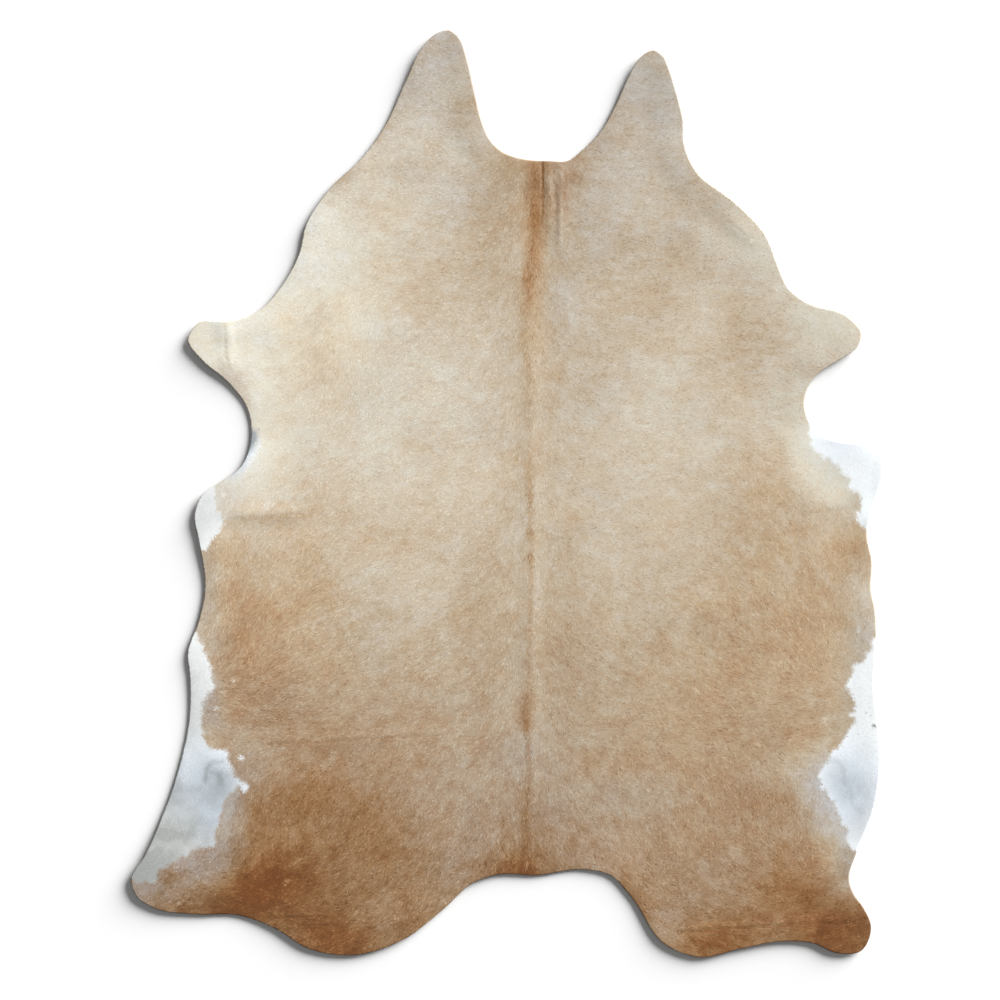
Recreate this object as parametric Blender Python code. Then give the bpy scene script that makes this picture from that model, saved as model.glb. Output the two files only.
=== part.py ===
"""A hair-on cowhide, tanned, trimmed and laid flat as a floor rug.

A hide is one piece: tanned skin with its own short coat lying flat on it, so the model is one closed sheet.
Units are metres and +Z is up. The neck points to +Y, the hair side is up, and the origin lies on the floor,
under the middle of the hide's box.
"""

import math

import bmesh
import bpy
import numpy as np
from mathutils.geometry import delaunay_2d_cdt

# Thickness of the sheet
SKIN = 0.0025
COAT = 0.0030
RIM_WIDTH = 0.008

# How finely the sheet is divided
EDGE_STEP = 0.012
FIELD_STEP = 0.050
CREASE_STEP = 0.030
NEAREST_POINTS = 0.006
CURVE_STATIONS = 40

# The trimmed edge lifts off the floor in an uneven, shallow curl
CURL_REACH = 0.085
CURL_HEIGHT = 0.0045
CURL_WAVES = (
    # waves round the hide, share of the curl's height, phase in turns
    (9, 0.35, 0.10),
    (17, 0.30, 0.45),
    (31, 0.15, 0.80),
)

# The trimmed edge, clockwise as seen from above, from the left cheek
EDGE_KNOTS = (
    # name, x, y
    ("left cheek, tip", -0.135, 1.107),
    ("left cheek, inner side of the tip", -0.113, 1.089),
    ("left cheek, under the tip", -0.095, 1.041),
    ("left cheek, inner side", -0.078, 0.970),
    ("left cheek, low on the inner side", -0.059, 0.892),
    ("left cheek, foot", -0.041, 0.850),
    ("neck, left corner", -0.019, 0.824),
    ("neck, left", 0.049, 0.798),
    ("neck, middle", 0.100, 0.795),
    ("neck, right corner", 0.151, 0.797),
    ("right cheek, foot", 0.181, 0.820),
    ("right cheek, low on the inner side", 0.224, 0.864),
    ("right cheek, inner side", 0.262, 0.929),
    ("right cheek, high on the inner side", 0.290, 0.991),
    ("right cheek, inner side of the tip", 0.313, 1.033),
    ("right cheek, top of the tip", 0.329, 1.049),
    ("right cheek, tip", 0.352, 1.059),
    ("right cheek, outer side of the tip", 0.374, 1.047),
    ("right cheek, under the tip", 0.389, 1.015),
    ("right cheek, outer side", 0.410, 0.949),
    ("right cheek, middle of the outer side", 0.423, 0.897),
    ("right cheek, low on the outer side", 0.427, 0.833),
    ("right neck", 0.447, 0.782),
    ("right shoulder, top", 0.556, 0.688),
    ("right shoulder, rounding", 0.620, 0.620),
    ("right shoulder, side", 0.654, 0.537),
    ("right shoulder, foot", 0.676, 0.491),
    ("right foreleg, top", 0.717, 0.458),
    ("right foreleg, top of the tip", 0.822, 0.418),
    ("right foreleg, tip", 0.850, 0.382),
    ("right foreleg, low on the tip", 0.839, 0.347),
    ("right foreleg, under the tip", 0.812, 0.327),
    ("right foreleg, middle of the underside", 0.773, 0.304),
    ("right foreleg, underside", 0.732, 0.268),
    ("right armpit, top", 0.715, 0.226),
    ("right armpit, foot", 0.734, 0.158),
    ("right armpit, low on the foot", 0.759, 0.135),
    ("right belly flap, armpit side", 0.802, 0.121),
    ("right belly flap, top", 0.869, 0.111),
    ("right belly flap, top of the corner", 0.890, 0.096),
    ("right belly flap, corner", 0.900, 0.070),
    ("right belly flap, side", 0.879, -0.032),
    ("right belly, notch", 0.864, -0.096),
    ("right belly, top", 0.876, -0.166),
    ("right belly, middle", 0.874, -0.228),
    ("right belly, bulge", 0.884, -0.285),
    ("right belly, foot", 0.886, -0.340),
    ("right flank, waist", 0.880, -0.460),
    ("right flank", 0.897, -0.645),
    ("right thigh", 0.878, -0.762),
    ("right thigh, foot", 0.840, -0.860),
    ("right shank, notch", 0.822, -0.931),
    ("right shank, top of the outer side", 0.834, -0.964),
    ("right shank, outer side", 0.855, -0.993),
    ("right shank, tip", 0.874, -1.040),
    ("right shank, foot of the tip", 0.850, -1.097),
    ("right shank, under the tip", 0.790, -1.102),
    ("right shank, root", 0.738, -1.080),
    ("right buttock, waist", 0.665, -1.074),
    ("right buttock, right of the foot", 0.565, -1.091),
    ("right buttock, foot", 0.459, -1.112),
    ("right buttock, left of the foot", 0.382, -1.083),
    ("right buttock, inner side", 0.296, -0.964),
    ("rump, right corner", 0.250, -0.917),
    ("rump, right", 0.190, -0.903),
    ("rump, middle", 0.071, -0.917),
    ("rump, left", -0.020, -0.915),
    ("rump, left corner", -0.074, -0.932),
    ("left buttock, inner side", -0.153, -1.000),
    ("left buttock, right of the foot", -0.248, -1.071),
    ("left buttock, foot", -0.378, -1.108),
    ("left buttock, left of the foot", -0.475, -1.091),
    ("left buttock, outer side", -0.555, -1.043),
    ("left buttock, waist", -0.640, -1.013),
    ("left shank, underside", -0.745, -1.010),
    ("left shank, under the tip", -0.846, -0.993),
    ("left shank, foot of the tip", -0.886, -0.965),
    ("left shank, tip", -0.898, -0.926),
    ("left shank, top of the tip", -0.865, -0.868),
    ("left shank, outer side", -0.825, -0.777),
    ("left thigh", -0.782, -0.651),
    ("left flank, foot", -0.761, -0.552),
    ("left flank, waist", -0.758, -0.440),
    ("left flank, corner", -0.763, -0.385),
    ("left flank, top", -0.737, -0.307),
    ("left belly", -0.722, -0.231),
    ("left belly, top", -0.737, -0.110),
    ("left belly flap, side", -0.746, -0.050),
    ("left belly flap, corner", -0.730, -0.008),
    ("left belly flap, top", -0.688, 0.023),
    ("left armpit, foot", -0.635, 0.064),
    ("left armpit", -0.611, 0.155),
    ("left armpit, top", -0.623, 0.206),
    ("left foreleg, underside", -0.664, 0.262),
    ("left foreleg, under the tip", -0.731, 0.320),
    ("left foreleg, tip", -0.762, 0.366),
    ("left foreleg, top of the tip", -0.741, 0.404),
    ("left foreleg, top", -0.655, 0.412),
    ("left shoulder, foot", -0.600, 0.432),
    ("left shoulder, side", -0.530, 0.508),
    ("left shoulder", -0.495, 0.576),
    ("left shoulder, rounding", -0.480, 0.640),
    ("left shoulder, top", -0.433, 0.717),
    ("left neck", -0.341, 0.809),
    ("left cheek, low on the outer side", -0.296, 0.871),
    ("left cheek, outer side", -0.240, 0.988),
    ("left cheek, outer side of the tip", -0.195, 1.075),
    ("left cheek, top of the tip", -0.163, 1.102),
)

# Ends and corners that lift a little higher than the rest of the edge
LIFTED_ENDS = (
    # name, x, y, reach, height
    ("left cheek", -0.15, 1.10, 0.20, 0.005),
    ("right cheek", 0.35, 1.05, 0.18, 0.005),
    ("right foreleg", 0.84, 0.38, 0.18, 0.005),
    ("right belly flap", 0.89, 0.08, 0.16, 0.005),
    ("right shank", 0.86, -1.06, 0.20, 0.005),
    ("right buttock", 0.46, -1.11, 0.26, 0.005),
    ("left buttock", -0.38, -1.11, 0.30, 0.005),
    ("left shank", -0.89, -0.93, 0.22, 0.005),
    ("left belly flap", -0.74, -0.03, 0.18, 0.004),
    ("left foreleg", -0.76, 0.37, 0.20, 0.005),
)

# Soft ridges that folding and drying left in the hide, each fading out towards its ends
CREASE_FADE = 0.25
CREASE_END_HEIGHT = 0.3
CREASES = (
    # name, start x, start y, end x, end y, height, half width
    ("neck pleat, left", 0.068, 0.800, 0.066, 0.640, 0.0035, 0.017),
    ("neck pleat, middle", 0.101, 0.800, 0.101, 0.620, 0.0050, 0.015),
    ("neck pleat, right", 0.130, 0.800, 0.131, 0.580, 0.0045, 0.016),
    ("bend of the left foreleg, top", -0.678, 0.420, -0.670, 0.345, 0.0040, 0.020),
    ("bend of the left foreleg, foot", -0.670, 0.345, -0.660, 0.290, 0.0030, 0.020),
    ("crease of the left flank", -0.690, -0.050, -0.470, -0.045, 0.0050, 0.024),
    ("crease of the right shoulder", 0.510, 0.670, 0.595, 0.600, 0.0020, 0.018),
    ("fold across the left thigh", -0.610, -0.600, -0.160, -0.580, 0.0020, 0.018),
    ("fold across the left buttock", -0.590, -1.020, -0.200, -1.024, 0.0020, 0.018),
    ("fold across the right buttock", 0.400, -1.050, 0.850, -1.024, 0.0030, 0.020),
    ("fold along the spine", 0.058, 0.640, 0.052, -0.880, 0.0015, 0.022),
)


def closed_curve(knots):
    """Points every EDGE_STEP along the smooth closed curve through the knots, as an array of x, y."""
    knots = np.array(knots)
    before, after = np.roll(knots, 1, axis=0), np.roll(knots, -1, axis=0)
    chord_in = np.linalg.norm(knots - before, axis=1)[:, None]
    chord_out = np.linalg.norm(after - knots, axis=1)[:, None]
    # The tangent weighs the nearer neighbour more, which keeps the curve from bulging between uneven knots.
    tangent = (knots - before) / chord_in * chord_out + (after - knots) / chord_out * chord_in
    tangent /= chord_in + chord_out
    dense = []
    for i, start in enumerate(knots):
        end = after[i]
        reach = chord_out[i]
        t = np.linspace(0, 1, CURVE_STATIONS, endpoint=False)[:, None]
        dense.append(
            start * (1 + 2 * t) * (1 - t) ** 2
            + end * t**2 * (3 - 2 * t)
            + tangent[i] * reach * t * (1 - t) ** 2
            + tangent[(i + 1) % len(knots)] * reach * t**2 * (t - 1)
        )
    dense = np.concatenate(dense)
    lengths = np.linalg.norm(np.roll(dense, -1, axis=0) - dense, axis=1)
    along = np.concatenate([[0], np.cumsum(lengths)])
    closed = np.vstack([dense, dense[:1]])
    stations = np.linspace(0, along[-1], round(along[-1] / EDGE_STEP), endpoint=False)
    return np.column_stack([np.interp(stations, along, closed[:, axis]) for axis in (0, 1)])


def centred(loop):
    """The loop with the middle of its box at the origin."""
    return loop - (loop.min(axis=0) + loop.max(axis=0)) / 2


def inset(loop, distance):
    """The clockwise loop moved inwards."""
    tangent = np.roll(loop, -1, axis=0) - np.roll(loop, 1, axis=0)
    tangent /= np.linalg.norm(tangent, axis=1)[:, None]
    inward = np.column_stack([tangent[:, 1], -tangent[:, 0]])
    return loop + inward * distance


def from_segment(points, start, end):
    """Each point's distance from the segment, and how far along it the nearest place is, from 0 to 1."""
    start, run = np.array(start), np.subtract(end, start)
    along = np.clip((points - start) @ run / (run @ run), 0, 1)
    return np.linalg.norm(points - (start + along[:, None] * run), axis=1), along


def from_edge(points, loop):
    """Each point's distance from the trimmed edge, and the share of the way round where it is nearest."""
    distance = np.full(len(points), np.inf)
    share = np.zeros(len(points))
    for i, start in enumerate(loop):
        here, along = from_segment(points, start, loop[(i + 1) % len(loop)])
        nearer = here < distance
        distance[nearer] = here[nearer]
        share[nearer] = (i + along[nearer]) / len(loop)
    return distance, share


def hump(u):
    """A smooth hump: 1 at u = 0, and exactly 0 from u = 1 on."""
    return np.clip(1 - u**2, 0, None) ** 2


def is_inside(points, loop):
    """Whether each point is inside the loop, by counting the crossings to its right."""
    inside = np.zeros(len(points), bool)
    x, y = points[:, 0], points[:, 1]
    for (x0, y0), (x1, y1) in zip(loop, np.roll(loop, -1, axis=0)):
        if y0 == y1:
            continue
        crosses = (y0 > y) != (y1 > y)
        inside ^= crosses & (x < x0 + (y - y0) * (x1 - x0) / (y1 - y0))
    return inside


def lift(points, loop):
    """How high the skin's underside is off the floor at each point."""
    distance, share = from_edge(points, loop)
    waves = sum(size * np.sin(2 * math.pi * (count * share + phase)) for count, size, phase in CURL_WAVES)
    height = CURL_HEIGHT * (1 + waves) * hump(distance / CURL_REACH)
    for _name, x, y, reach, end_height in LIFTED_ENDS:
        height += end_height * hump(np.linalg.norm(points - (x, y), axis=1) / reach)
    for _name, x0, y0, x1, y1, ridge, half_width in CREASES:
        away, along = from_segment(points, (x0, y0), (x1, y1))
        fade = np.clip(np.minimum(along, 1 - along) / CREASE_FADE, CREASE_END_HEIGHT, 1)
        height += ridge * fade * hump(away / half_width)
    return height


def field_points(loop):
    """A triangular grid over the loop's whole box."""
    (left, foot), (right, top) = loop.min(axis=0), loop.max(axis=0)
    columns = np.arange(left, right, FIELD_STEP)
    rows = np.arange(foot, top, FIELD_STEP * math.sqrt(3) / 2)
    x, y = np.meshgrid(columns, rows)
    x[1::2] += FIELD_STEP / 2
    return np.column_stack([x.ravel(), y.ravel()])


def crease_points():
    """Rows of points along the crest, the slopes and the feet of each crease."""
    rows = []
    for _name, x0, y0, x1, y1, _ridge, half_width in CREASES:
        start, run = np.array((x0, y0)), np.array((x1 - x0, y1 - y0))
        length = np.linalg.norm(run)
        side = np.array((run[1], -run[0])) / length
        stations = np.linspace(0, 1, max(3, round(length / CREASE_STEP)))[:, None]
        for across in (-1, -0.5, 0, 0.5, 1):
            rows.append(start + stations * run + side * half_width * across)
    return np.concatenate(rows)


def thinned(points, gap):
    """The points in order, each left out if one kept before it is nearer than the gap."""
    kept = []
    for point in points:
        if not kept or np.linalg.norm(np.array(kept) - point, axis=1).min() >= gap:
            kept.append(point)
    return np.array(kept)


def inner_points(loop, rim):
    """The points inside the rim: the creases' own rows, then the grid where no crease is near."""
    creases = crease_points()
    creases = creases[is_inside(creases, rim)]
    creases = creases[from_edge(creases, loop)[0] > RIM_WIDTH + NEAREST_POINTS]
    creases = thinned(creases, NEAREST_POINTS)
    field = field_points(loop)
    field = field[is_inside(field, rim)]
    field = field[from_edge(field, loop)[0] > RIM_WIDTH + FIELD_STEP / 2]
    away = np.array([np.linalg.norm(creases - point, axis=1).min() for point in field])
    return np.concatenate([creases, field[away > FIELD_STEP / 2]])


def hide_mesh():
    """The closed sheet: hair side, flesh side and the trimmed edge between them."""
    loop = centred(closed_curve([(x, y) for _name, x, y in EDGE_KNOTS]))
    rim = inset(loop, RIM_WIDTH)
    flat = np.concatenate([loop, rim, inner_points(loop, rim)])
    count = len(loop)
    edges = [(i, (i + 1) % count) for i in range(count)]
    # 1 keeps only the triangles inside the loop.
    flat, _edges, faces = delaunay_2d_cdt([tuple(p) for p in flat], edges, [list(range(count))], 1, 1e-6)[:3]
    flat = np.array([tuple(p) for p in flat])
    under = lift(flat, loop)
    thickness = np.full(len(flat), SKIN + COAT)
    thickness[:count] = SKIN

    sheet = bmesh.new()
    upper = [sheet.verts.new((x, y, z)) for (x, y), z in zip(flat, under + thickness)]
    lower = [sheet.verts.new((x, y, z)) for (x, y), z in zip(flat, under)]
    for face in faces:
        sheet.faces.new([upper[i] for i in face])
        sheet.faces.new([lower[i] for i in reversed(face)])
    for i, j in edges:
        sheet.faces.new((upper[i], upper[j], lower[j], lower[i]))
    bmesh.ops.recalc_face_normals(sheet, faces=sheet.faces)
    mesh = bpy.data.meshes.new("hide")
    sheet.to_mesh(mesh)
    sheet.free()
    mesh.shade_smooth()
    mesh.set_sharp_from_angle(angle=math.radians(40))
    return mesh


def coat_material():
    """Short beige hair with a soft sheen."""
    material = bpy.data.materials.new("beige_coat")
    material.use_nodes = True
    shader = material.node_tree.nodes["Principled BSDF"]
    shader.inputs["Base Color"].default_value = (0.62, 0.48, 0.34, 1)
    shader.inputs["Roughness"].default_value = 0.75
    shader.inputs["Metallic"].default_value = 0
    return material


def main():
    for leftover in list(bpy.data.objects):
        bpy.data.objects.remove(leftover)
    hide = bpy.data.objects.new("hide", hide_mesh())
    hide.data.materials.append(coat_material())
    bpy.context.scene.collection.objects.link(hide)


main()
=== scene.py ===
# %% [markdown]
# # A hair-on cowhide rug
# A whole hide, tanned with its hair on, lies flat on the floor. The hide is one skin about 2.5 mm
# thick with a coat of short hair on it. This notebook dresses the imported solid: a leather skin
# with its suede underside, the ground of the coat on it, and over a hundred thousand small locks
# of hair, combed as the animal's hair lay. The colours come from tables of soft patches that were
# placed one by one, and from smooth random lumps.

import bpy
import numpy as np
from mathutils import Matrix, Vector
from mathutils.bvhtree import BVHTree
from mathutils.geometry import delaunay_2d_cdt
from mathutils.kdtree import KDTree


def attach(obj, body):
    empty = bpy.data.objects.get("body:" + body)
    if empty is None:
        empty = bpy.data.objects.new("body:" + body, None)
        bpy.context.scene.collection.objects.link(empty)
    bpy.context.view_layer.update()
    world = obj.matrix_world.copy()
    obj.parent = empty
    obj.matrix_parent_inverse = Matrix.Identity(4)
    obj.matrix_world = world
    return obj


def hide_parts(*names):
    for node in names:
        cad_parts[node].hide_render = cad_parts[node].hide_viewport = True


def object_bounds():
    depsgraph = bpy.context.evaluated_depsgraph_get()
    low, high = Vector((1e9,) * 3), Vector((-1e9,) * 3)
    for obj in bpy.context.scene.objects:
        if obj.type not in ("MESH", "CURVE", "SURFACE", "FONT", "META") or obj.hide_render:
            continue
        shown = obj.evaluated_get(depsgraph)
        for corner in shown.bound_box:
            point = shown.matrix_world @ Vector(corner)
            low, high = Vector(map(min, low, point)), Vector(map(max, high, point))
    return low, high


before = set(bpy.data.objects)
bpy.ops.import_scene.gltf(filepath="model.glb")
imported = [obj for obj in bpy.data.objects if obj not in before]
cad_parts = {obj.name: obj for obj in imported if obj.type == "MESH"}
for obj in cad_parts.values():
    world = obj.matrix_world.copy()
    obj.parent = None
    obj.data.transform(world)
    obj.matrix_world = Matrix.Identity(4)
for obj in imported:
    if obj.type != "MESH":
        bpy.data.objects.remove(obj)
CAD_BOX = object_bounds()
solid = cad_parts["hide"]
print("solid box, metres:", [tuple(round(v, 4) for v in corner) for corner in CAD_BOX])

# %% [markdown]
# ## The camera
# The photograph looks straight down on the rug. A long lens high above does the same, and keeps
# the low relief from leaning outwards. Its height follows from how much floor the picture spans.

# %% Look straight down
PICTURE_SPAN = 2.4
LENS = 85.0
SENSOR = 36.0
PICTURE_CENTRE = (-0.0168, -0.0144)
FARTHEST_SEEN = 60.0

lens = bpy.data.cameras.new("overhead")
lens.lens = LENS
lens.sensor_width = SENSOR
lens.clip_end = FARTHEST_SEEN
camera = bpy.data.objects.new("overhead", lens)
bpy.context.scene.collection.objects.link(camera)
camera.location = (*PICTURE_CENTRE, PICTURE_SPAN * LENS / SENSOR)
bpy.context.scene.camera = camera
print(f"camera {camera.location.z:.2f} m above the floor")

# %% [markdown]
# ## The outline
# The rug was cut round with a knife, so its outline is the animal's own: two cheeks and the neck
# between them, the forelegs, the belly, the hind shanks and the rump. The solid already has that
# outline, as the upright faces round its rim. They are followed here in order, and a smooth curve
# is drawn through them with finer steps than the solid needs.

# %% Follow the rim of the solid
UPRIGHT = 0.2
EDGE_STEP = 0.006
CURVE_STEPS = 8


def rim_points(obj):
    """The points of the upright edge faces, in order round the hide, seen from above."""
    place = {}
    after = {}
    for face in obj.data.polygons:
        if abs(face.normal.z) > UPRIGHT:
            continue
        corners = {}
        for index in face.vertices:
            x, y, _ = obj.data.vertices[index].co
            corners[round(x, 5), round(y, 5)] = (x, y)
        if len(corners) != 2:
            continue
        place.update(corners)
        first, second = corners
        after.setdefault(first, set()).add(second)
        after.setdefault(second, set()).add(first)
    start = min(place)
    loop = [start, min(after[start])]
    while True:
        ahead = [spot for spot in after[loop[-1]] if spot != loop[-2]]
        if not ahead or ahead[0] == start:
            return np.array([place[spot] for spot in loop])
        loop.append(ahead[0])


def smooth_loop(points, step):
    """A closed curve through the points, with new points about a step apart."""
    before, after, beyond = (np.roll(points, -k, axis=0) for k in (-1, 1, 2))
    share = np.linspace(0, 1, CURVE_STEPS, endpoint=False)[None, :, None]
    a, b, c, d = (p[:, None, :] for p in (before, points, after, beyond))
    curve = 0.5 * (
        2 * b
        + (c - a) * share
        + (2 * a - 5 * b + 4 * c - d) * share**2
        + (3 * b - a - 3 * c + d) * share**3
    )
    curve = curve.reshape(-1, 2)
    closed = np.vstack([curve, curve[:1]])
    along = np.concatenate([[0], np.cumsum(np.linalg.norm(np.diff(closed, axis=0), axis=1))])
    stops = np.linspace(0, along[-1], int(along[-1] / step), endpoint=False)
    return np.stack([np.interp(stops, along, closed[:, k]) for k in (0, 1)], axis=1)


def loop_area(loop):
    """The area inside a loop, less than 0 if it runs clockwise."""
    x, y = loop.T
    return 0.5 * float(np.sum(x * np.roll(y, -1) - np.roll(x, -1) * y))


outline = smooth_loop(rim_points(solid), EDGE_STEP)
if loop_area(outline) < 0:
    outline = outline[::-1]

# %% [markdown]
# ## Inside, and how far from the edge
# Every later step asks two things about a spot: is it on the hide, and how far is the cut edge?
# The first is answered by counting how often a line from the spot crosses the outline. A tree of
# outline points answers the second.

# %% Ask about spots on the hide


def inside_loop(points, loop):
    """Whether each point is inside a closed loop."""
    x, y = points.T
    crossings = np.zeros(len(points), bool)
    for (x0, y0), (x1, y1) in zip(loop, np.roll(loop, -1, axis=0)):
        if y0 == y1:
            continue
        spans = (y0 > y) != (y1 > y)
        crossings ^= spans & (x < (x1 - x0) * (y - y0) / (y1 - y0) + x0)
    return crossings


def loop_distance(points, loop):
    """How far each point is from a closed loop's line."""
    best = np.full(len(points), np.inf)
    for start, end in zip(loop, np.roll(loop, -1, axis=0)):
        way = end - start
        part = ((points - start) @ way / max(float(way @ way), 1e-12)).clip(0, 1)
        best = np.minimum(best, np.linalg.norm(points - start - part[:, None] * way, axis=1))
    return best


edge_spots = smooth_loop(outline, EDGE_STEP / 4)
near_edge = KDTree(len(edge_spots))
for number, (x, y) in enumerate(edge_spots):
    near_edge.insert((x, y, 0.0), number)
near_edge.balance()


def edge_distance(points):
    """How far each point on the hide is from the cut edge."""
    return np.array([near_edge.find((x, y, 0.0))[2] for x, y in points])


print(f"distance tree of {len(edge_spots)} outline points")

# %% [markdown]
# ## Random lumps that stay the same
# Hair, hide and patches are all uneven. This small noise gives each square of a grid a number and
# blends between them, so that any size of lump can be asked for at any spot, and each run gives
# the same lumps.

# %% Make lumps


def lumps(points, size, seed):
    """Smooth random values from -1 to 1 that change over about that size."""
    spots = points / size
    cell = np.floor(spots).astype(np.int64)
    part = spots - cell
    part = part * part * (3 - 2 * part)

    def corner(right, up):
        mixed = (cell[:, 0] + right) * 73856093 ^ (cell[:, 1] + up) * 19349663 ^ seed * 83492791
        mixed = (mixed ^ (mixed >> 13)) * 1274126177
        mixed = mixed ^ (mixed >> 16)
        return (mixed & 0xFFFF) / 32767.5 - 1

    low = corner(0, 0) * (1 - part[:, 0]) + corner(1, 0) * part[:, 0]
    high = corner(0, 1) * (1 - part[:, 0]) + corner(1, 1) * part[:, 0]
    return low * (1 - part[:, 1]) + high * part[:, 1]


def layered(points, layers, seed):
    """The sum of lumps of several sizes. Each layer is a size and how strong it is."""
    return sum(amount * lumps(points, size, seed + n) for n, (size, amount) in enumerate(layers))


def wandered(points, reach, size, seed):
    """The points, each moved a little by lumps of that size."""
    moves = [lumps(points, size, seed), lumps(points, size, seed + 1)]
    return points + reach * np.stack(moves, axis=1)


def hump(u):
    """A smooth rise from 0 at u = 1 and beyond, to 1 at u = 0."""
    return (1 - np.minimum(u * u, 1)) ** 2


def ease(value, low, high):
    """0 below low, 1 above high, and smooth between."""
    part = ((value - low) / (high - low)).clip(0, 1)
    return part * part * (3 - 2 * part)


print("lumps at one spot:", lumps(np.array([[0.1, 0.2]]), 0.05, 1))

# %% [markdown]
# ## How the hide lies
# A dried hide is never quite flat. Its edges curl up a little from the floor, the neck keeps its
# pleats, and folds from packing cross the flanks and the buttocks. The solid has these forms in
# large facets. Its heights are read on a fine grid and smoothed, and the main creases are then
# drawn again in their own sizes, as soft ridges and narrow troughs.

# %% Read the solid's heights
SKIN = 0.0025
COAT = 0.0030
RIM_WIDTH = 0.0085
MAP_STEP = 0.005
MAP_SMOOTHING = 2.5

tree = BVHTree.FromPolygons(
    [v.co for v in solid.data.vertices], [tuple(p.vertices) for p in solid.data.polygons]
)
low_corner, high_corner = (np.array(corner[:2]) for corner in CAD_BOX)
map_size = np.ceil((high_corner - low_corner) / MAP_STEP).astype(int) + 3
map_start = low_corner - MAP_STEP


def solid_lift(x, y):
    """How far the hide is off the floor at a spot where the solid has its full thickness."""
    return tree.ray_cast(Vector((x, y, 1.0)), Vector((0, 0, -1)))[0].z - SKIN - COAT


columns, rows = np.meshgrid(*(np.arange(n) for n in map_size), indexing="ij")
map_spots = map_start + MAP_STEP * np.stack([columns.ravel(), rows.ravel()], axis=1)
on_hide = inside_loop(map_spots, outline)
full_depth = np.zeros(len(map_spots), bool)
full_depth[on_hide] = edge_distance(map_spots[on_hide]) > RIM_WIDTH
heights = np.zeros(len(map_spots))
heights[full_depth] = [solid_lift(x, y) for x, y in map_spots[full_depth]]


def blurred(grid, cells):
    """The grid blurred by that many cells, along both of its axes."""
    reach = int(3 * cells)
    weights = np.exp(-0.5 * (np.arange(-reach, reach + 1) / cells) ** 2)
    for axis in (0, 1):
        grid = np.apply_along_axis(np.convolve, axis, grid, weights / weights.sum(), "same")
    return grid


known = full_depth.reshape(map_size).astype(float)
lift_map = blurred(heights.reshape(map_size) * known, MAP_SMOOTHING)
lift_map /= np.maximum(blurred(known, MAP_SMOOTHING), 1e-4)
lift_map *= blurred(known, MAP_SMOOTHING) > 1e-3
print(f"lift map {lift_map.shape}, highest {lift_map.max() * 1000:.1f} mm")

# %% Draw the main creases
CREASES = (  # name, its points, height of the ridge (less than 0 is a trough), half width
    ("left neck pleat, trough", ((0.086, 0.805), (0.086, 0.720), (0.081, 0.655)), -0.0009, 0.0045),
    ("middle neck pleat, ridge", ((0.101, 0.800), (0.101, 0.620)), 0.0006, 0.010),
    ("right neck pleat, trough", ((0.114, 0.756), (0.119, 0.700), (0.118, 0.634)), -0.0004, 0.0040),
    ("right neck pleat, ridge", ((0.131, 0.800), (0.127, 0.590)), 0.0004, 0.009),
    ("neck cross fold", ((-0.020, 0.538), (0.079, 0.542)), -0.0005, 0.006),
    ("left cheek wrinkle", ((-0.165, 0.914), (-0.062, 0.904)), -0.0003, 0.008),
    ("right cheek wrinkle", ((0.302, 0.965), (0.408, 0.953)), -0.0002, 0.008),
    ("left foreleg bend, trough", ((-0.678, 0.420), (-0.673, 0.330), (-0.660, 0.290)), -0.0003, 0.006),
    ("left foreleg bend, ridge", ((-0.664, 0.420), (-0.659, 0.330)), 0.0003, 0.012),
    ("left flank, trough", ((-0.700, -0.064), (-0.600, -0.056), (-0.450, -0.044)), -0.0003, 0.010),
    ("left flank, upper ridge", ((-0.680, -0.042), (-0.480, -0.026)), 0.0001, 0.018),
    ("left flank, lower ridge", ((-0.670, -0.084), (-0.560, -0.074)), 0.0003, 0.018),
    ("right flank fold", ((0.690, -0.044), (0.780, -0.038), (0.842, -0.030)), -0.0004, 0.008),
    ("right shoulder line", ((0.516, 0.665), (0.588, 0.605)), -0.0002, 0.008),
    ("left thigh line", ((-0.605, -0.602), (-0.400, -0.592), (-0.161, -0.578)), -0.0005, 0.005),
    ("left buttock line", ((-0.590, -1.015), (-0.365, -1.015)), -0.0005, 0.005),
    ("right buttock, trough", ((0.398, -1.051), (0.640, -1.036), (0.859, -1.025)), -0.0007, 0.005),
    ("right buttock, ridge", ((0.400, -1.040), (0.640, -1.026), (0.850, -1.014)), 0.0005, 0.009),
)
CREASE_WANDER, CREASE_WANDER_SIZE = 0.0025, 0.03
CREASE_END = (-0.01, 0.04)  # where a crease starts to rise and where it is whole


def line_reach(points, line):
    """How far each point is from an open line, and its distance along it from the nearer end."""
    best = np.full(len(points), np.inf)
    from_start = np.zeros(len(points))
    gone = 0.0
    for start, end in zip(np.array(line[:-1]), np.array(line[1:])):
        way = end - start
        length = float(np.linalg.norm(way))
        part = ((points - start) @ way / length**2).clip(0, 1)
        away = np.linalg.norm(points - start - part[:, None] * way, axis=1)
        nearer = away < best
        from_start = np.where(nearer, gone + part * length, from_start)
        best = np.minimum(best, away)
        gone += length
    return best, np.minimum(from_start, gone - from_start)


def lift_at(points):
    """How far the hide is off the floor at each point, creases included."""
    cells = (points - map_start) / MAP_STEP
    cell = np.floor(cells).astype(int).clip(0, map_size - 2)
    across, up = (cells - cell).clip(0, 1).T
    column, row = cell.T
    below = lift_map[column, row] * (1 - across) + lift_map[column + 1, row] * across
    above = lift_map[column, row + 1] * (1 - across) + lift_map[column + 1, row + 1] * across
    lift = below * (1 - up) + above * up
    moved = wandered(points, CREASE_WANDER, CREASE_WANDER_SIZE, 5)
    for _, line, height, half_width in CREASES:
        away, from_end = line_reach(moved, line)
        lift = lift + height * hump(away / half_width) * ease(from_end, *CREASE_END)
    return np.maximum(lift, 0)


print(f"{len(CREASES)} creases drawn")

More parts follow.
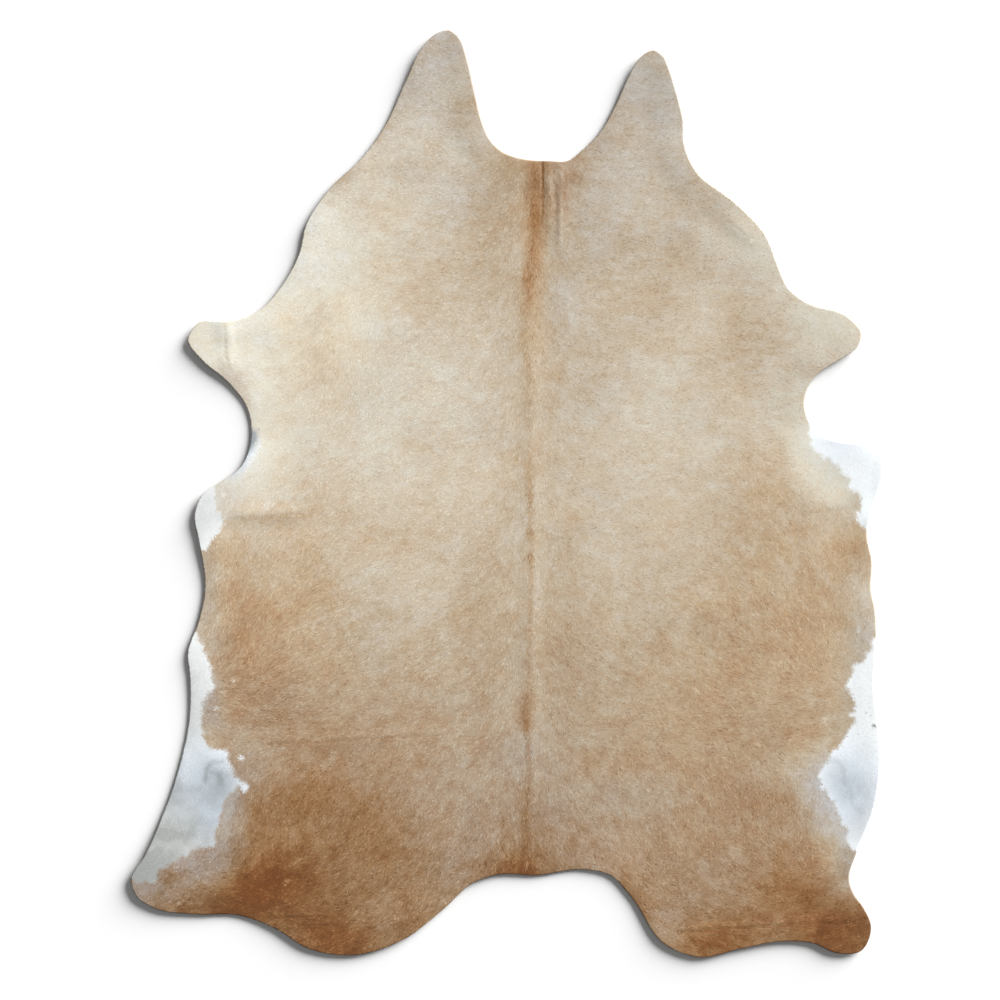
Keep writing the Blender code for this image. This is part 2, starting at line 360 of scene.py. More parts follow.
# %% [markdown]
# ## Points over the hide
# The skin and the ground of the coat are both sheets over the same outline. Each gets the outline
# as its border, one or two rows of points just inside it, and an even field of staggered points
# that is finer along the creases. Blender's own triangulation joins them.

# %% Lay out and join the points
ROW_SHARE = 0.866  # how far apart the rows are, as a share of the step


def staggered(step, jitter=0.0, seed=0):
    """Evenly staggered points over the hide's box, each moved by a random share of a step."""
    width, length = high_corner - low_corner
    counts = (int(width / step) + 2, int(length / (step * ROW_SHARE)) + 2)
    column, row = np.meshgrid(*(np.arange(n) for n in counts), indexing="ij")
    points = np.stack([(column + 0.5 * (row % 2)).ravel(), ROW_SHARE * row.ravel()], axis=1)
    moves = np.random.default_rng(seed).uniform(-jitter, jitter, points.shape)
    return low_corner + step * (points + moves)


def kept_inside(points, margin):
    """Those of the points that are on the hide and further than the margin from its edge."""
    points = points[inside_loop(points, outline)]
    return points[edge_distance(points) > margin]


def inset_loop(loop, depth):
    """The loop moved inwards."""
    along = np.roll(loop, -2, axis=0) - np.roll(loop, 2, axis=0)
    inward = np.stack([-along[:, 1], along[:, 0]], axis=1)
    return loop + depth * inward / np.linalg.norm(inward, axis=1)[:, None]


def near_crease(points, reach):
    """Whether each point is within reach of a crease's side."""
    near = np.zeros(len(points), bool)
    for _, line, _, half_width in CREASES:
        near |= line_reach(points, line)[0] < half_width + reach
    return near


def joined(loop, insets, step, crease_step):
    """The points and triangles of a flat sheet inside the loop. Its border points come first."""
    rings = [inset_loop(loop, depth) for depth in insets]
    margin = insets[-1] + 0.5 * crease_step
    coarse = kept_inside(staggered(step), insets[-1] + 0.5 * step)
    fine = staggered(crease_step)
    fine = kept_inside(fine[near_crease(fine, CREASE_REACH)], margin)
    coarse = coarse[~near_crease(coarse, CREASE_REACH + 0.5 * crease_step)]
    points = np.vstack([loop, *rings, fine, coarse])
    border = [(n, (n + 1) % len(loop)) for n in range(len(loop))]
    spots, _, triangles, source, _, _ = delaunay_2d_cdt(
        [Vector(p) for p in points], border, [], 1, 1e-7
    )
    if [origin[0] for origin in source] != list(range(len(points))):
        print("the triangulation changed the points' order")
    return np.array([tuple(p) for p in spots]), np.array(triangles)


COAT_STEP = 0.0100
COAT_CREASE_STEP = 0.0045
COAT_INSETS = (0.0002, 0.0030)
CREASE_REACH = 0.008
coat_spots, coat_triangles = joined(outline, COAT_INSETS, COAT_STEP, COAT_CREASE_STEP)
print(f"coat ground: {len(coat_spots)} points, {len(coat_triangles)} triangles")

# %% [markdown]
# ## Where the coat is dark and where it is pale
# The coat runs from cream on the left shoulder to brown on the hind legs. One number, the shade,
# says how brown it is at a spot: 0 is cream and 1 is brown. It is built up in layers: an even
# ground that deepens from the neck to the tail, then soft patches laid over it, each with its
# place, its reach and how much darker or paler it is, and last the stripe along the spine. Many
# patches also hold painted shade and painted light: darker along the left and lower edges and on
# the lit ridge above the left flank crease, paler on slopes by the right-hand edges.
#
# The tables of patches are in centimetres, with turns in degrees and strengths in hundredths,
# because such rows are quick to try out and change. `PATCH_UNITS` turns them into metres.

# %% Lay the patches of shade
SHADE_ALONG = (  # y, shade of the ground
    (1.110, 0.41), (0.820, 0.40), (0.580, 0.38), (0.350, 0.32), (0.100, 0.30), (-0.020, 0.33),
    (-0.140, 0.38), (-0.380, 0.48), (-0.620, 0.57), (-0.860, 0.71), (-1.000, 0.79), (-1.110, 0.84),
)
PATCH_UNITS = (0.01, 0.01, 0.01, 0.01, 1, 0.01)
# Besides the coat's colour, many rows are painted shade by the left and lower edges and painted light
# by the right ones.
SHADE_PATCHES = PATCH_UNITS * np.array([  # x, y, half width, half length, turn, how much darker
    # the left cheek and that side of the neck
    (-44, 56, 24, 24, 0, -10), (-42, 74.5, 8, 4, 35, 10), (-46, 66, 12, 14, 0, -14),
    (-34, 79, 10, 8, 0, -9), (-10, 91, 8, 8, 0, 5), (-22, 88, 16, 18, 0, -10),
    (-24, 78, 11, 7, 0, 10), (-26, 70, 22, 22, 0, -13), (-12, 97, 7, 6, 0, -5),
    (-4, 77, 13, 5, -15, -10), (-39, 79, 6, 7, 0, 7), (-49, 65, 6, 8, 0, 7), (-13, 99, 8, 9, 0, -8),
    (-7, 83, 10, 10, 0, -15), (-38, 57, 12, 12, 0, -8), (-43.5, 59.5, 7, 8, 0, 9),
    # The last two rows here are painted shade along the left neck edge.
    (-6, 60, 12, 16, 0, 5), (-41, 75, 5, 10, -45, 7), (-30, 88, 4, 7, -30, 7),
    # the neck, by the stripe and the pleats
    (5, 74, 21, 34, 0, 17), (13, 80, 13, 14, 0, 11), (10.5, 78.5, 3, 3, 0, 22),
    (21, 57, 8, 6, 0, 5), (13, 66, 7, 14, 0, 12), (2, 64, 5, 14, 0, -7), (15, 74.5, 5.5, 9, 0, 11),
    (4, 77.5, 3.5, 5, 0, -12),
    # the right cheek and that side of the neck
    (23.5, 89, 9, 8, 0, 7), (32, 100, 10, 9, 0, -5), (41, 83, 6, 12, 0, -7), (42, 60, 30, 34, 0, 5),
    (66, 58, 22, 24, 30, -13), (38, 92, 10, 22, 0, -10), (31, 71, 10, 13, 0, -9),
    (45, 67, 12, 12, 0, -7), (56, 61, 14, 12, 0, -13), (33, 88, 6, 7, 0, 4),
    (44, 76, 6, 10, 30, -2), (55, 57, 8, 10, 30, -3),
    # the left shoulder, foreleg and armpit
    (-66, 46, 42, 46, 0, -30), (-43, 32, 26, 26, 0, 11), (-45, 42, 8, 10, 0, 5),
    (-44, 29, 9, 9, 0, 5), (-59, 18, 9, 8, 0, 11), (-46, 39.5, 4, 2.5, -20, 7),
    (-46.8, 33.5, 4, 3.5, 0, 6), (-44.5, 28.2, 5, 2.5, 0, 6), (-36, 40, 12, 12, 0, -9),
    (-33, 24, 42, 42, 0, -10), (-62, 8, 16, 26, 0, -18), (-43, 44, 5, 5, 0, 7),
    # The first two rows here are painted shade along the left foreleg's rear edge.
    (-66, 26, 8, 9, 0, 26), (-63.5, 21, 4, 7, 30, 14), (-42, 27, 14, 16, 0, -3.5),
    # the back between the shoulders
    (-30, 42, 16, 18, 0, -4), (8, 24, 22, 44, 0, 10), (-20, 44, 10, 10, 0, 6),
    (-20, 12, 13, 11, 0, 6), (17, 45, 7, 10, 0, -8), (24, 14, 16, 14, 0, -5), (-5, 47, 7, 10, 0, 6),
    (8.5, 48, 2.5, 8, 0, 6), (9, 8, 6, 6, 0, 7),
    # the right shoulder, foreleg and armpit
    (80, 40, 20, 20, 0, -10), (62, 38, 18, 18, 0, 10), (77.5, 5.5, 12, 13, 0, -28),
    (40, 30, 44, 40, 0, 5), (47.5, 43, 11, 12, 0, -12), (42, 12, 20, 26, 0, -5),
    (68, 16, 11, 12, 0, -7), (76, 40, 14, 9, 0, -10), (64, 47, 7, 7, 0, -8),
    (75, 43, 15, 10, 0, -12), (69, 25, 10, 14, 0, -12), (36, 30, 16, 20, 0, -7),
    (50, 26, 12, 14, 0, -2), (71, 13, 9, 6, -30, -18), (74, 11, 10, 10, 0, -8), (60, 9, 5, 6, 0, 6),
    (35, 42, 5, 5, 0, 6),
    # the left flank and belly
    (-47, -19, 11, 11, 0, 8), (-57, -22, 9, 14, 0, -6), (-58, -38, 12, 12, 0, -5),
    (-52, -5, 24, 5, 3, 7), (-62, -38, 16, 40, 0, 20), (-71, -14, 5, 6, 0, 12),
    (-32, -42, 42, 30, 0, 5), (-49, -44, 8, 10, 0, 4), (-64, -30, 6, 6, 0, 6),
    # The last row here is painted shade on the lit ridge above the left flank crease.
    (-46, -29, 7, 5, 0, 5), (-57, -2.4, 12, 2.2, 3, 10),
    # the lower back
    (-22, -28, 28, 26, 0, -8), (5, -7, 20, 13, 0, 3.5), (-6, -32, 14, 22, 0, 6),
    (-5, -17, 9, 14, 0, 8), (14, -17, 8, 14, 0, 7), (15, -37, 11, 18, 0, 8),
    (-6, -33, 8, 14, 10, 5), (25, -17, 9, 13, 0, -6), (-27, -10, 6, 5, 0, 5),
    # the right flank and belly
    (62, -4, 20, 22, 0, 12), (84, -13, 10, 12, 0, 18), (60, -30, 34, 22, 0, 10),
    (56, -50, 22, 14, 0, 6), (84, -20, 8, 10, 0, -10), (81, -1, 7, 6, 0, -12),
    (83, -42, 9, 18, 0, -15), (74, -20, 11, 8, 0, 9), (42, -24, 12, 12, 0, -6),
    (86, -28, 6, 13, 0, -7), (62, -47, 12, 9, 0, -4.5), (42, -46, 9, 6, 0, 4),
    # the left thigh, shank and buttock
    (-48, -56, 22, 14, 0, 7), (-42, -78, 34, 22, 0, 16), (-50, -74, 20, 8, 0, 7),
    (-60, -94, 22, 17, 0, 42), (-54, -84, 16, 9, 0, -18), (-32, -88, 19, 20, 0, 16),
    (-36, -63, 28, 17, 0, 8), (-31, -104, 12, 9, 0, -15), (-76, -99, 22, 8, 0, 15),
    (-42, -107, 26, 12, 0, 24), (-37, -54, 9, 9, 0, -6), (-66, -99, 18, 6, 0, 15),
    (-58, -79, 8, 8, 0, 6), (-45, -70, 10, 6, 0, 6), (-61, -66, 6, 5, 0, -8),
    (-62, -60, 10, 6, 0, -6), (-67, -81, 6, 15, -10, -22), (-72, -92, 10, 10, 0, -19),
    (-80, -92, 8, 5, 0, 20), (-53, -83, 18, 19, 0, 15), (-36, -102, 28, 16, 0, 14),
    (-65, -88.5, 5, 5, 0, -11), (-31, -54, 6, 6, 0, 6), (-34, -77, 12, 9, 0, 5),
    (-60, -93, 7, 7, 0, 8), (-47, -104, 12, 5, 0, 6), (-70, -103, 12, 4, 0, 14),
    (-33, -110, 10, 4, -20, 9), (-89, -96.5, 5, 6, 0, -13),
    # the rump and the tail
    (-21, -62, 8, 7, 0, 6), (32, -90, 9, 7, 0, 5), (8, -62, 9, 14, 0, -8), (3, -74, 9, 10, 0, 7),
    (33, -72, 14, 14, 0, -7), (31, -64, 15, 8, 0, 10), (5, -91, 16, 16, 0, 22),
    (1, -89, 15, 9, 0, 14), (-17, -90, 12, 8, 0, 8), (9, -63, 14, 11, 0, 7), (16, -83, 10, 8, 0, 7),
    (29, -99, 8, 8, 0, 10), (-6, -61, 5, 9, 0, 8), (26, -58, 6, 5, 0, 6), (-23, -103, 5, 9, -50, 5),
    # The last two rows here are painted shade along the rump's lower rim.
    (2, -94, 8, 6, 0, 38), (13, -94, 24, 5, 0, 20), (28, -98, 5, 7, 40, 11),
    # the right thigh, shank and buttock
    (72, -68, 10, 8, 0, -8), (66, -61, 24, 9, 0, 3), (39, -108, 11, 12, 0, -12),
    (68, -93, 22, 15, 0, 13), (50, -109, 16, 10, 0, 20), (78, -104, 20, 13, 0, 24),
    (78, -72, 10, 22, 0, -21), (66, -68, 8, 6, 0, -9), (57, -74, 20, 12, 0, 7),
    (55, -104, 20, 10, 0, 13), (79, -87, 8, 17, 0, -28), (81, -99, 8, 7, 0, -13),
    (80, -54, 7, 8, 0, -8), (74, -78, 6, 8, 0, -7), (54, -88, 7, 5, 0, -6), (51, -99, 6, 5, 0, 7),
    (62, -94, 6, 5, 0, 5), (66, -102, 22, 5, 0, 6), (81, -96.5, 6, 5, 0, -11),
    (77, -85, 4, 5, 0, 7), (72, -63, 12, 7, 0, -11),
])


def patchwork(points, patches):
    """The sum of soft oval patches at each point."""
    total = np.zeros(len(points))
    for x, y, half_width, half_length, turn, amount in patches:
        cos, sin = np.cos(np.radians(turn)), np.sin(np.radians(turn))
        right, up = (points - (x, y)).T
        across = (right * cos + up * sin) / half_width
        along = (up * cos - right * sin) / half_length
        total += amount * hump(np.hypot(across, along))
    return total


# %% Draw the stripe along the spine
SPINE = 0.01 * np.array([  # y, x and half width in centimetres, how much darker in hundredths
    (79.7, 6.6, 1.2, 4), (73, 6.6, 1.4, 15), (67, 6.7, 1.6, 23), (62.2, 6.7, 1.7, 20),
    (55.7, 6, 2.2, 24), (52.1, 5.5, 2.4, 36), (46.6, 4.8, 2.4, 20), (39.4, 4.6, 2.4, 10),
    (33.4, 4.7, 2, 7), (29.8, 5.1, 1.6, 9), (26.2, 5, 1.4, 5), (22.6, 5.4, 1, 18),
    (18.5, 5.5, 0.8, 5), (11.8, 5.4, 0.7, 5), (6.5, 5.4, 0.9, 18), (-1.4, 5.5, 1, 22),
    (-6.2, 5.6, 0.9, 15), (-9.4, 5.5, 1.1, 28), (-12.7, 5.6, 0.6, 8), (-14.9, 5.6, 1.1, 22),
    (-17.5, 5.8, 0.5, 18), (-21.8, 5.7, 0.5, 10), (-25.4, 5.6, 0.7, 16), (-30.2, 5.5, 0.7, 15),
    (-33.1, 5.4, 0.6, 5), (-36.2, 5.2, 1, 14), (-41, 5, 1, 22), (-44.6, 5.2, 0.6, 9),
    (-50.6, 4.5, 1.8, 28), (-55.4, 4.6, 1.6, 28), (-58.6, 5, 0.8, 14), (-65, 5.4, 1, 20),
    (-69.8, 5.2, 1.2, 16), (-77, 4.7, 1.3, 17), (-84.2, 4.7, 1.4, 18), (-89.8, 4.4, 1.8, 22),
])
STRIPE_SOFTNESS = 0.55


def along_spine(y):
    """The spine's x, the stripe's half width and how much darker it is, at each y."""
    return [np.interp(-y, -SPINE[:, 0], column) for column in SPINE[:, 1:].T]


def stripe(points):
    """How much darker the spine's stripe is at each point."""
    x, y = points.T
    middle, half_width, amount = along_spine(y)
    return amount * np.exp(-0.5 * ((x - middle) / (STRIPE_SOFTNESS * half_width)) ** 2)


# %% [markdown]
# ## How the hair lies
# Hair grows from the spine out to the belly and back towards the tail, and it turns at whorls on
# the shoulder and in the groin. The table gives its heading along ten cuts across the hide. The
# heading is 0 towards the tail and 90 straight away from the spine, so one table does for both
# halves. The few places where the halves differ are added as patches.

# %% Comb the hair
COMB_AWAY = (0.00, 0.05, 0.15, 0.35, 0.55, 0.80)  # how far from the spine
COMB = (  # y, the heading at each of those distances
    (1.05, (0, 40, 80, 95, 110, 110)),
    (0.70, (0, 20, 90, 95, 100, 100)),
    (0.45, (0, 25, 85, 90, 80, 80)),
    (0.17, (0, 25, 85, 90, 90, 90)),
    (0.02, (0, 30, 80, 90, 50, 15)),
    (-0.23, (0, 12, 65, 65, 45, 8)),
    (-0.35, (0, 12, 60, 55, 48, 0)),
    (-0.53, (0, 15, 60, 72, 85, 105)),
    (-0.77, (0, 6, 38, 30, 18, 0)),
    (-1.00, (0, 20, 40, 60, 90, 105)),
)
WHORLS = (  # x, y, half width, half length in metres, turn, how many degrees it turns the hair
    (-0.38, 0.30, 0.20, 0.30, 0, -85),  # left shoulder
    (-0.38, 0.56, 0.12, 0.12, 0, 45),  # above it
    (-0.80, 0.32, 0.16, 0.14, 0, 60),  # left foreleg
    (-0.82, -0.98, 0.14, 0.12, 0, -45),  # left shank
)
COMB_WOBBLE = ((0.060, 11.0), (0.021, 8.0))  # size, degrees
PARTING = 0.012  # half the width in which the two sides' hair meets along the spine


def heading_at(points):
    """The way the hair lies at each point, as unit vectors."""
    x, y = points.T
    from_spine = x - along_spine(y)[0]
    rows = np.stack([np.interp(np.abs(from_spine), COMB_AWAY, headings) for _, headings in COMB])
    place = np.interp(-y, [-row[0] for row in COMB], np.arange(len(COMB)))
    above = np.floor(place).astype(int).clip(0, len(COMB) - 2)
    every = np.arange(len(points))
    part = ease(place - above, 0, 1)
    turn = rows[above, every] * (1 - part) + rows[above + 1, every] * part
    turn = np.radians(turn + patchwork(points, WHORLS) + layered(points, COMB_WOBBLE, 31))
    side = np.tanh(from_spine / PARTING)
    way = np.stack([np.sin(turn) * side, -np.cos(turn)], axis=1)
    return way / np.linalg.norm(way, axis=1)[:, None]


STREAKS = ((0.0032, 0.012, 0.028), (0.0075, 0.030, 0.034))  # width, length, how much darker
STREAK_STEPS = 7


def streaks(points):
    """Uneven shade drawn out along the hair, about 0 on the whole."""
    way = heading_at(points)
    total = np.zeros(len(points))
    for number, (size, reach, amount) in enumerate(STREAKS):
        for share in np.linspace(-0.5, 0.5, STREAK_STEPS):
            along = points + share * reach * way
            total += amount / STREAK_STEPS**0.5 * lumps(along, size, 71 + number)
    return total


SHADE_CLOUDS = ((0.0115, 0.042), (0.026, 0.036), (0.060, 0.030))  # size, how much darker or paler


def clouds(points):
    """Uneven shade over the hide, streaks and all, about 0 on the whole."""
    return layered(points, SHADE_CLOUDS, 61) + streaks(points)


print("heading on the left flank:", heading_at(np.array([[-0.6, -0.3]])).round(2))

# %% [markdown]
# ## Lines, nicks and the dark cap
# Not all of the shade is soft. The pleats, wrinkles and creases get thin dark lines of painted
# shade, and the pale pleat a pale line of painted light on its ridge, while a few more lines darken
# the stripe. Healed scratches grow pale hair, and the tip of one hind shank is a darker cap with a
# clear edge. Lines are drawn by their points, nicks as tiny ovals, and the cap by its corners.

# %% Draw the lines, the nicks and the cap
# The lines in the pleats, wrinkles and creases are painted shade; the pale pleat's line is painted
# light.
STRIPE_LINES_AND_PAINTED_CREASE_SHADE = (  # name, its points, half width, how much darker
    ("left neck pleat", ((0.086, 0.810), (0.086, 0.735), (0.084, 0.700)), 0.0045, 0.50),
    ("left neck pleat, lower", ((0.085, 0.720), (0.086, 0.680), (0.081, 0.640)), 0.0055, 0.26),
    ("left of the neck pleat", ((0.066, 0.810), (0.062, 0.720), (0.058, 0.655)), 0.0045, 0.12),
    ("beside the left neck pleat", ((0.077, 0.790), (0.077, 0.700), (0.072, 0.640)), 0.0070, 0.16),
    ("stripe line", ((0.076, 0.640), (0.060, 0.590), (0.051, 0.540)), 0.0050, 0.10),
    ("right neck pleat", ((0.113, 0.756), (0.119, 0.700), (0.118, 0.634)), 0.0035, 0.14),
    ("stripe core", ((0.067, 0.800), (0.066, 0.720), (0.064, 0.640), (0.057, 0.560)), 0.0040, 0.16),
    ("pale pleat", ((0.131, 0.800), (0.130, 0.700), (0.127, 0.590)), 0.0055, -0.14),
    ("neck wrinkle 1", ((0.015, 0.737), (0.064, 0.740)), 0.0035, 0.12),
    ("neck wrinkle 2", ((0.010, 0.683), (0.060, 0.690)), 0.0035, 0.12),
    ("neck wrinkle 3", ((0.078, 0.592), (0.105, 0.576), (0.118, 0.566)), 0.0035, 0.12),
    ("neck wrinkle 4", ((0.000, 0.574), (0.050, 0.578)), 0.0035, 0.09),
    ("neck wrinkle 5", ((-0.010, 0.523), (0.050, 0.524)), 0.0035, 0.08),
    ("neck line", ((0.046, 0.800), (0.050, 0.560)), 0.0040, 0.05),
    ("left foreleg bend", ((-0.676, 0.420), (-0.671, 0.330), (-0.660, 0.290)), 0.0040, 0.16),
    ("left flank crease", ((-0.672, -0.062), (-0.600, -0.058), (-0.470, -0.050)), 0.0120, 0.10),
    ("right flank fold", ((0.690, -0.044), (0.780, -0.038), (0.842, -0.030)), 0.0070, 0.08),
    ("left thigh line", ((-0.605, -0.602), (-0.400, -0.592), (-0.161, -0.578)), 0.0035, 0.09),
    ("left buttock line", ((-0.590, -1.015), (-0.365, -1.015)), 0.0035, 0.07),
    ("right buttock line", ((0.398, -1.051), (0.640, -1.038), (0.859, -1.027)), 0.0035, 0.13),
    ("right shoulder line", ((0.516, 0.665), (0.588, 0.605)), 0.0050, 0.05),
)
NICKS = PATCH_UNITS * np.array([  # x, y, half width, half length, turn, how much darker
    (58.6, 60.7, 0.8, 0.6, 0, -45), (45.1, -47, 0.7, 0.9, 30, -35), (48.2, -52.1, 0.6, 0.9, 0, -30),
    (33.8, -70.8, 0.6, 0.9, 0, -30), (75.8, -54.2, 0.6, 1.2, 0, -50),
    (84.2, -32.2, 0.6, 1.2, 0, -45), (-52.6, -93.1, 0.8, 0.8, 0, -70),
    (-78.5, -98.2, 0.5, 1, -30, -50), (-14.6, -97.4, 0.6, 1, 0, -40),
    (4.8, -88.6, 0.5, 1.4, 0, -90), (-65.3, -44.6, 0.6, 1.2, 0, -55),
    (-67.6, -47.4, 0.6, 1.2, -20, -50), (-69.4, -51.4, 0.7, 0.9, 0, -35),
    (-20.4, -67.7, 0.6, 0.8, 0, -30), (-67.7, -0.2, 0.9, 0.7, 0, -25),
    (-33, -58.8, 0.5, 0.5, 0, -30), (-26.2, -58.4, 0.5, 0.5, 0, -30), (5.5, -15.1, 1, 0.8, 0, 25),
    (31.9, -65, 1.2, 0.9, 0, 18),
])
CAP = (
    (0.735, -1.060), (0.748, -1.020), (0.768, -0.995), (0.795, -0.975), (0.825, -0.964),
    (0.855, -0.972), (0.900, -0.995), (0.920, -1.130), (0.740, -1.130),
)
CAP_SHADE, CAP_SOFTNESS = 0.16, 0.006
LINE_END = (-0.002, 0.02)  # where a line starts and where it is at its full strength


def depth_in(points, corners):
    """How far inside a shape each point is, and less than 0 outside it."""
    loop = np.array(corners)
    away = loop_distance(points, loop)
    return np.where(inside_loop(points, loop), away, -away)


def marks_and_painted_crease_shade(points):
    """How much darker the lines, the nicks and the cap make each point; the crease lines are painted
    shade.
    """
    total = patchwork(points, NICKS)
    for _, line, half_width, amount in STRIPE_LINES_AND_PAINTED_CREASE_SHADE:
        away, from_end = line_reach(points, line)
        total += amount * hump(away / half_width) * ease(from_end, *LINE_END)
    return total + CAP_SHADE * ease(depth_in(points, CAP), -CAP_SOFTNESS, CAP_SOFTNESS)


# %% [markdown]
# ## Warmer and cooler brown
# Two browns of the same depth can still differ: the stripe and the flanks are a warmer, rustier
# brown, while the neck, the rump and the hair next to the white are cooler. This second number
# is laid on in the same way, with soft patches, the stripe and a little cloudiness.

# %% Lay the warm and the cool patches
WARMTH = PATCH_UNITS * np.array([  # x, y, half width, half length, turn, how much warmer
    # the left cheek and that side of the neck
    (-17, 107, 28, 30, 0, -75), (-11, 97, 10, 12, 0, 50), (-28, 80, 10, 8, 0, -12),
    (-11, 71, 16, 11, 0, -42), (-45, 64, 10, 9, 0, -45), (-28, 68, 13, 9, 0, 28),
    # the neck, by the stripe and the pleats
    (19, 62, 18, 30, 0, -30), (6, 68, 7, 17, 0, 60), (0, 78, 9, 7, 0, 50), (2, 65, 3.5, 5, 0, -36),
    # the right cheek and that side of the neck
    (36, 95, 44, 46, 0, -40), (42, 76, 13, 10, 0, 28), (52, 67, 16, 14, 0, 16),
    (22, 84, 6, 5, 0, -35), (41, 62, 7, 7, 0, -36),
    # the left shoulder, foreleg and armpit
    (-43, 34, 22, 24, 0, 45), (-32, 40, 9, 8, 0, -45), (-56, 37, 7, 6, 0, -25),
    (-68, 28, 8, 8, 0, -35), (-45, 53, 12, 8, 0, -48), (-64, 5, 12, 10, 0, -60),
    # the back between the shoulders
    (-28, 50, 20, 17, 0, 28), (-20, 45, 12, 8, 0, 28), (13, 47, 9, 12, 0, -32),
    (3.5, 26, 6, 12, 0, 15), (8, 8, 9, 12, 0, 25), (20, 25, 10, 10, 0, -25),
    (-30, 24, 12, 12, 0, -24), (-5, 14, 6, 9, 0, -26),
    # the right shoulder, foreleg and armpit
    (45, 5, 50, 80, 0, 12), (77, 43, 12, 10, 0, 20), (53, 24, 15, 16, 0, 12),
    (52, 55, 14, 11, 0, -22), (30, 47, 14, 8, 0, 28), (60, 10, 7, 7, 0, 28),
    (48, 18, 10, 8, 0, -28), (76, 9, 11, 12, 0, -36),
    # the left flank and belly
    (-50, -12, 26, 26, 0, 48), (-62, -30, 18, 24, 0, 55), (-67, -3, 6, 7, 0, -42),
    (-59, -19, 10, 8, 0, -25), (-69, -36, 5, 6, 0, -60), (-34, -36, 12, 8, 0, -28),
    (-61, -37, 6, 13, 0, 28), (-52, -2.5, 14, 5, 0, -28), (-72, -24, 6, 18, 0, -85),
    (-71.5, -49, 6, 12, 0, -140), (-48, -36, 18, 15, 0, 48),
    # the lower back
    (-14, 2, 26, 20, 0, 28), (-2, -22, 9, 14, 0, 20), (-28, -11, 11, 8, 0, 20),
    (26, -32, 10, 8, 0, 15), (15, -4, 9, 6, 0, 42), (-18, -20, 16, 10, 0, 20),
    (-10, -50, 14, 9, 0, -32), (4, -40, 6, 14, 0, -30),
    # the right flank and belly
    (66, 3, 18, 17, 0, 32), (70, -36, 28, 28, 0, 65), (70, -14, 26, 18, 0, 30),
    (49, -25, 13, 7, 0, 42), (42, -36, 8, 7, 0, 30), (46, -44, 10, 9, 0, 22),
    (80, -12, 9, 9, 0, 70), (86, -34, 6, 11, 0, -70), (36, -5, 10, 10, 0, 30),
    (69, -3, 7, 6, 0, -30),
    # the left thigh, shank and buttock
    (-66.5, -74, 5, 8, 0, -60), (-43, -72, 11, 9, 0, 42), (-32, -78, 10, 8, 0, 12),
    (-58, -94, 21, 12, 0, 150), (-42, -105, 12, 7, 0, 35), (-87, -95, 10, 7, 0, -90),
    (-80, -91.5, 6, 4, 0, 55), (-69, -89, 9, 6, 0, -65), (-67, -101, 10, 5, 0, 60),
    (-28, -103, 8, 6, 0, -30), (-65, -51, 9, 6, 0, 50), (-62, -96, 10, 6, 0, 42),
    (-47, -104, 16, 6, 0, 22), (-55, -82, 20, 20, 0, 60), (-31, -82, 13, 13, 0, 50),
    (-41, -108, 14, 9, 0, 95), (-79, -90, 23, 15, 0, -165), (-66.5, -78, 7, 17, 0, -115),
    (-63, -67, 9, 9, 0, -70), (-46, -68, 20, 20, 0, 20),
    # the rump and the tail
    (2, -72, 34, 28, 0, -35), (32, -72, 14, 10, 0, -42), (21, -87, 12, 7, 0, -36),
    (-10, -88, 12, 11, 0, -66), (12, -55, 8, 8, 0, -28), (-24, -63, 12, 8, 0, 30),
    (26, -64, 15, 8, 0, 42), (10, -75, 7, 6, 0, -42), (3, -63, 12, 9, 0, -42),
    (-8, -76, 6, 8, 0, -30), (-22, -80, 6, 6, 0, -32), (3, -91, 7, 7, 0, 125),
    # the right thigh, shank and buttock
    (71, -57, 8, 7, 0, 50), (72, -69, 11, 6, 0, -42), (82, -88, 5, 11, 0, -110),
    (45, -82, 10, 9, 0, 28), (66, -95, 15, 8, 0, 42), (49, -106, 12, 6, 0, 40),
    (48, -57, 26, 28, 0, 42), (60, -80, 18, 14, 0, 30), (77, -105.5, 14, 10, 0, 160),
    (70, -62, 7, 6, 0, 36), (40, -100, 10, 9, 0, -40), (53, -89, 7, 6, 0, -30),
    (78, -74.5, 9, 15, 0, -130), (74, -65, 8, 7, 0, -50), (71, -93, 18, 15, 0, 60),
    (52, -108, 16, 8, 0, 98), (77, -85, 6, 6, 0, 55),
])
STRIPE_WARMTH = 1.6
NECK_STRIPE_WARMTH = 0.55
NECK_STRIPE = (0.067, 0.048)  # its middle and its half width
NECK_STRIPE_FADE = (0.22, 0.45)  # between which y it fades in
WARM_CLOUDS = ((0.022, 0.08), (0.060, 0.12))  # size, how much warmer or cooler
CLOUD_WARMTH = 2.4  # the darker clouds are warmer too


def warmth_at(points):
    """How warm the brown is at each point. It is 0 for the plain ramp and less than 0 for cooler."""
    warm = patchwork(points, WARMTH) + STRIPE_WARMTH * stripe(points)
    warm += CLOUD_WARMTH * clouds(points)
    across = (points[:, 0] - NECK_STRIPE[0]) / NECK_STRIPE[1]
    warm += NECK_STRIPE_WARMTH * hump(across) * ease(points[:, 1], *NECK_STRIPE_FADE)
    return warm + layered(points, WARM_CLOUDS, 51)


print(f"{len(STRIPE_LINES_AND_PAINTED_CREASE_SHADE)} lines, {len(NICKS)} nicks and {len(WARMTH)} patches of warmth")

# %% Add up the shade
PATCH_WANDER, PATCH_WANDER_SIZE = 0.012, 0.06
UNEVEN = (0.5, 1.2)  # how strong clouds and streaks are in cream hair, and how much more in brown


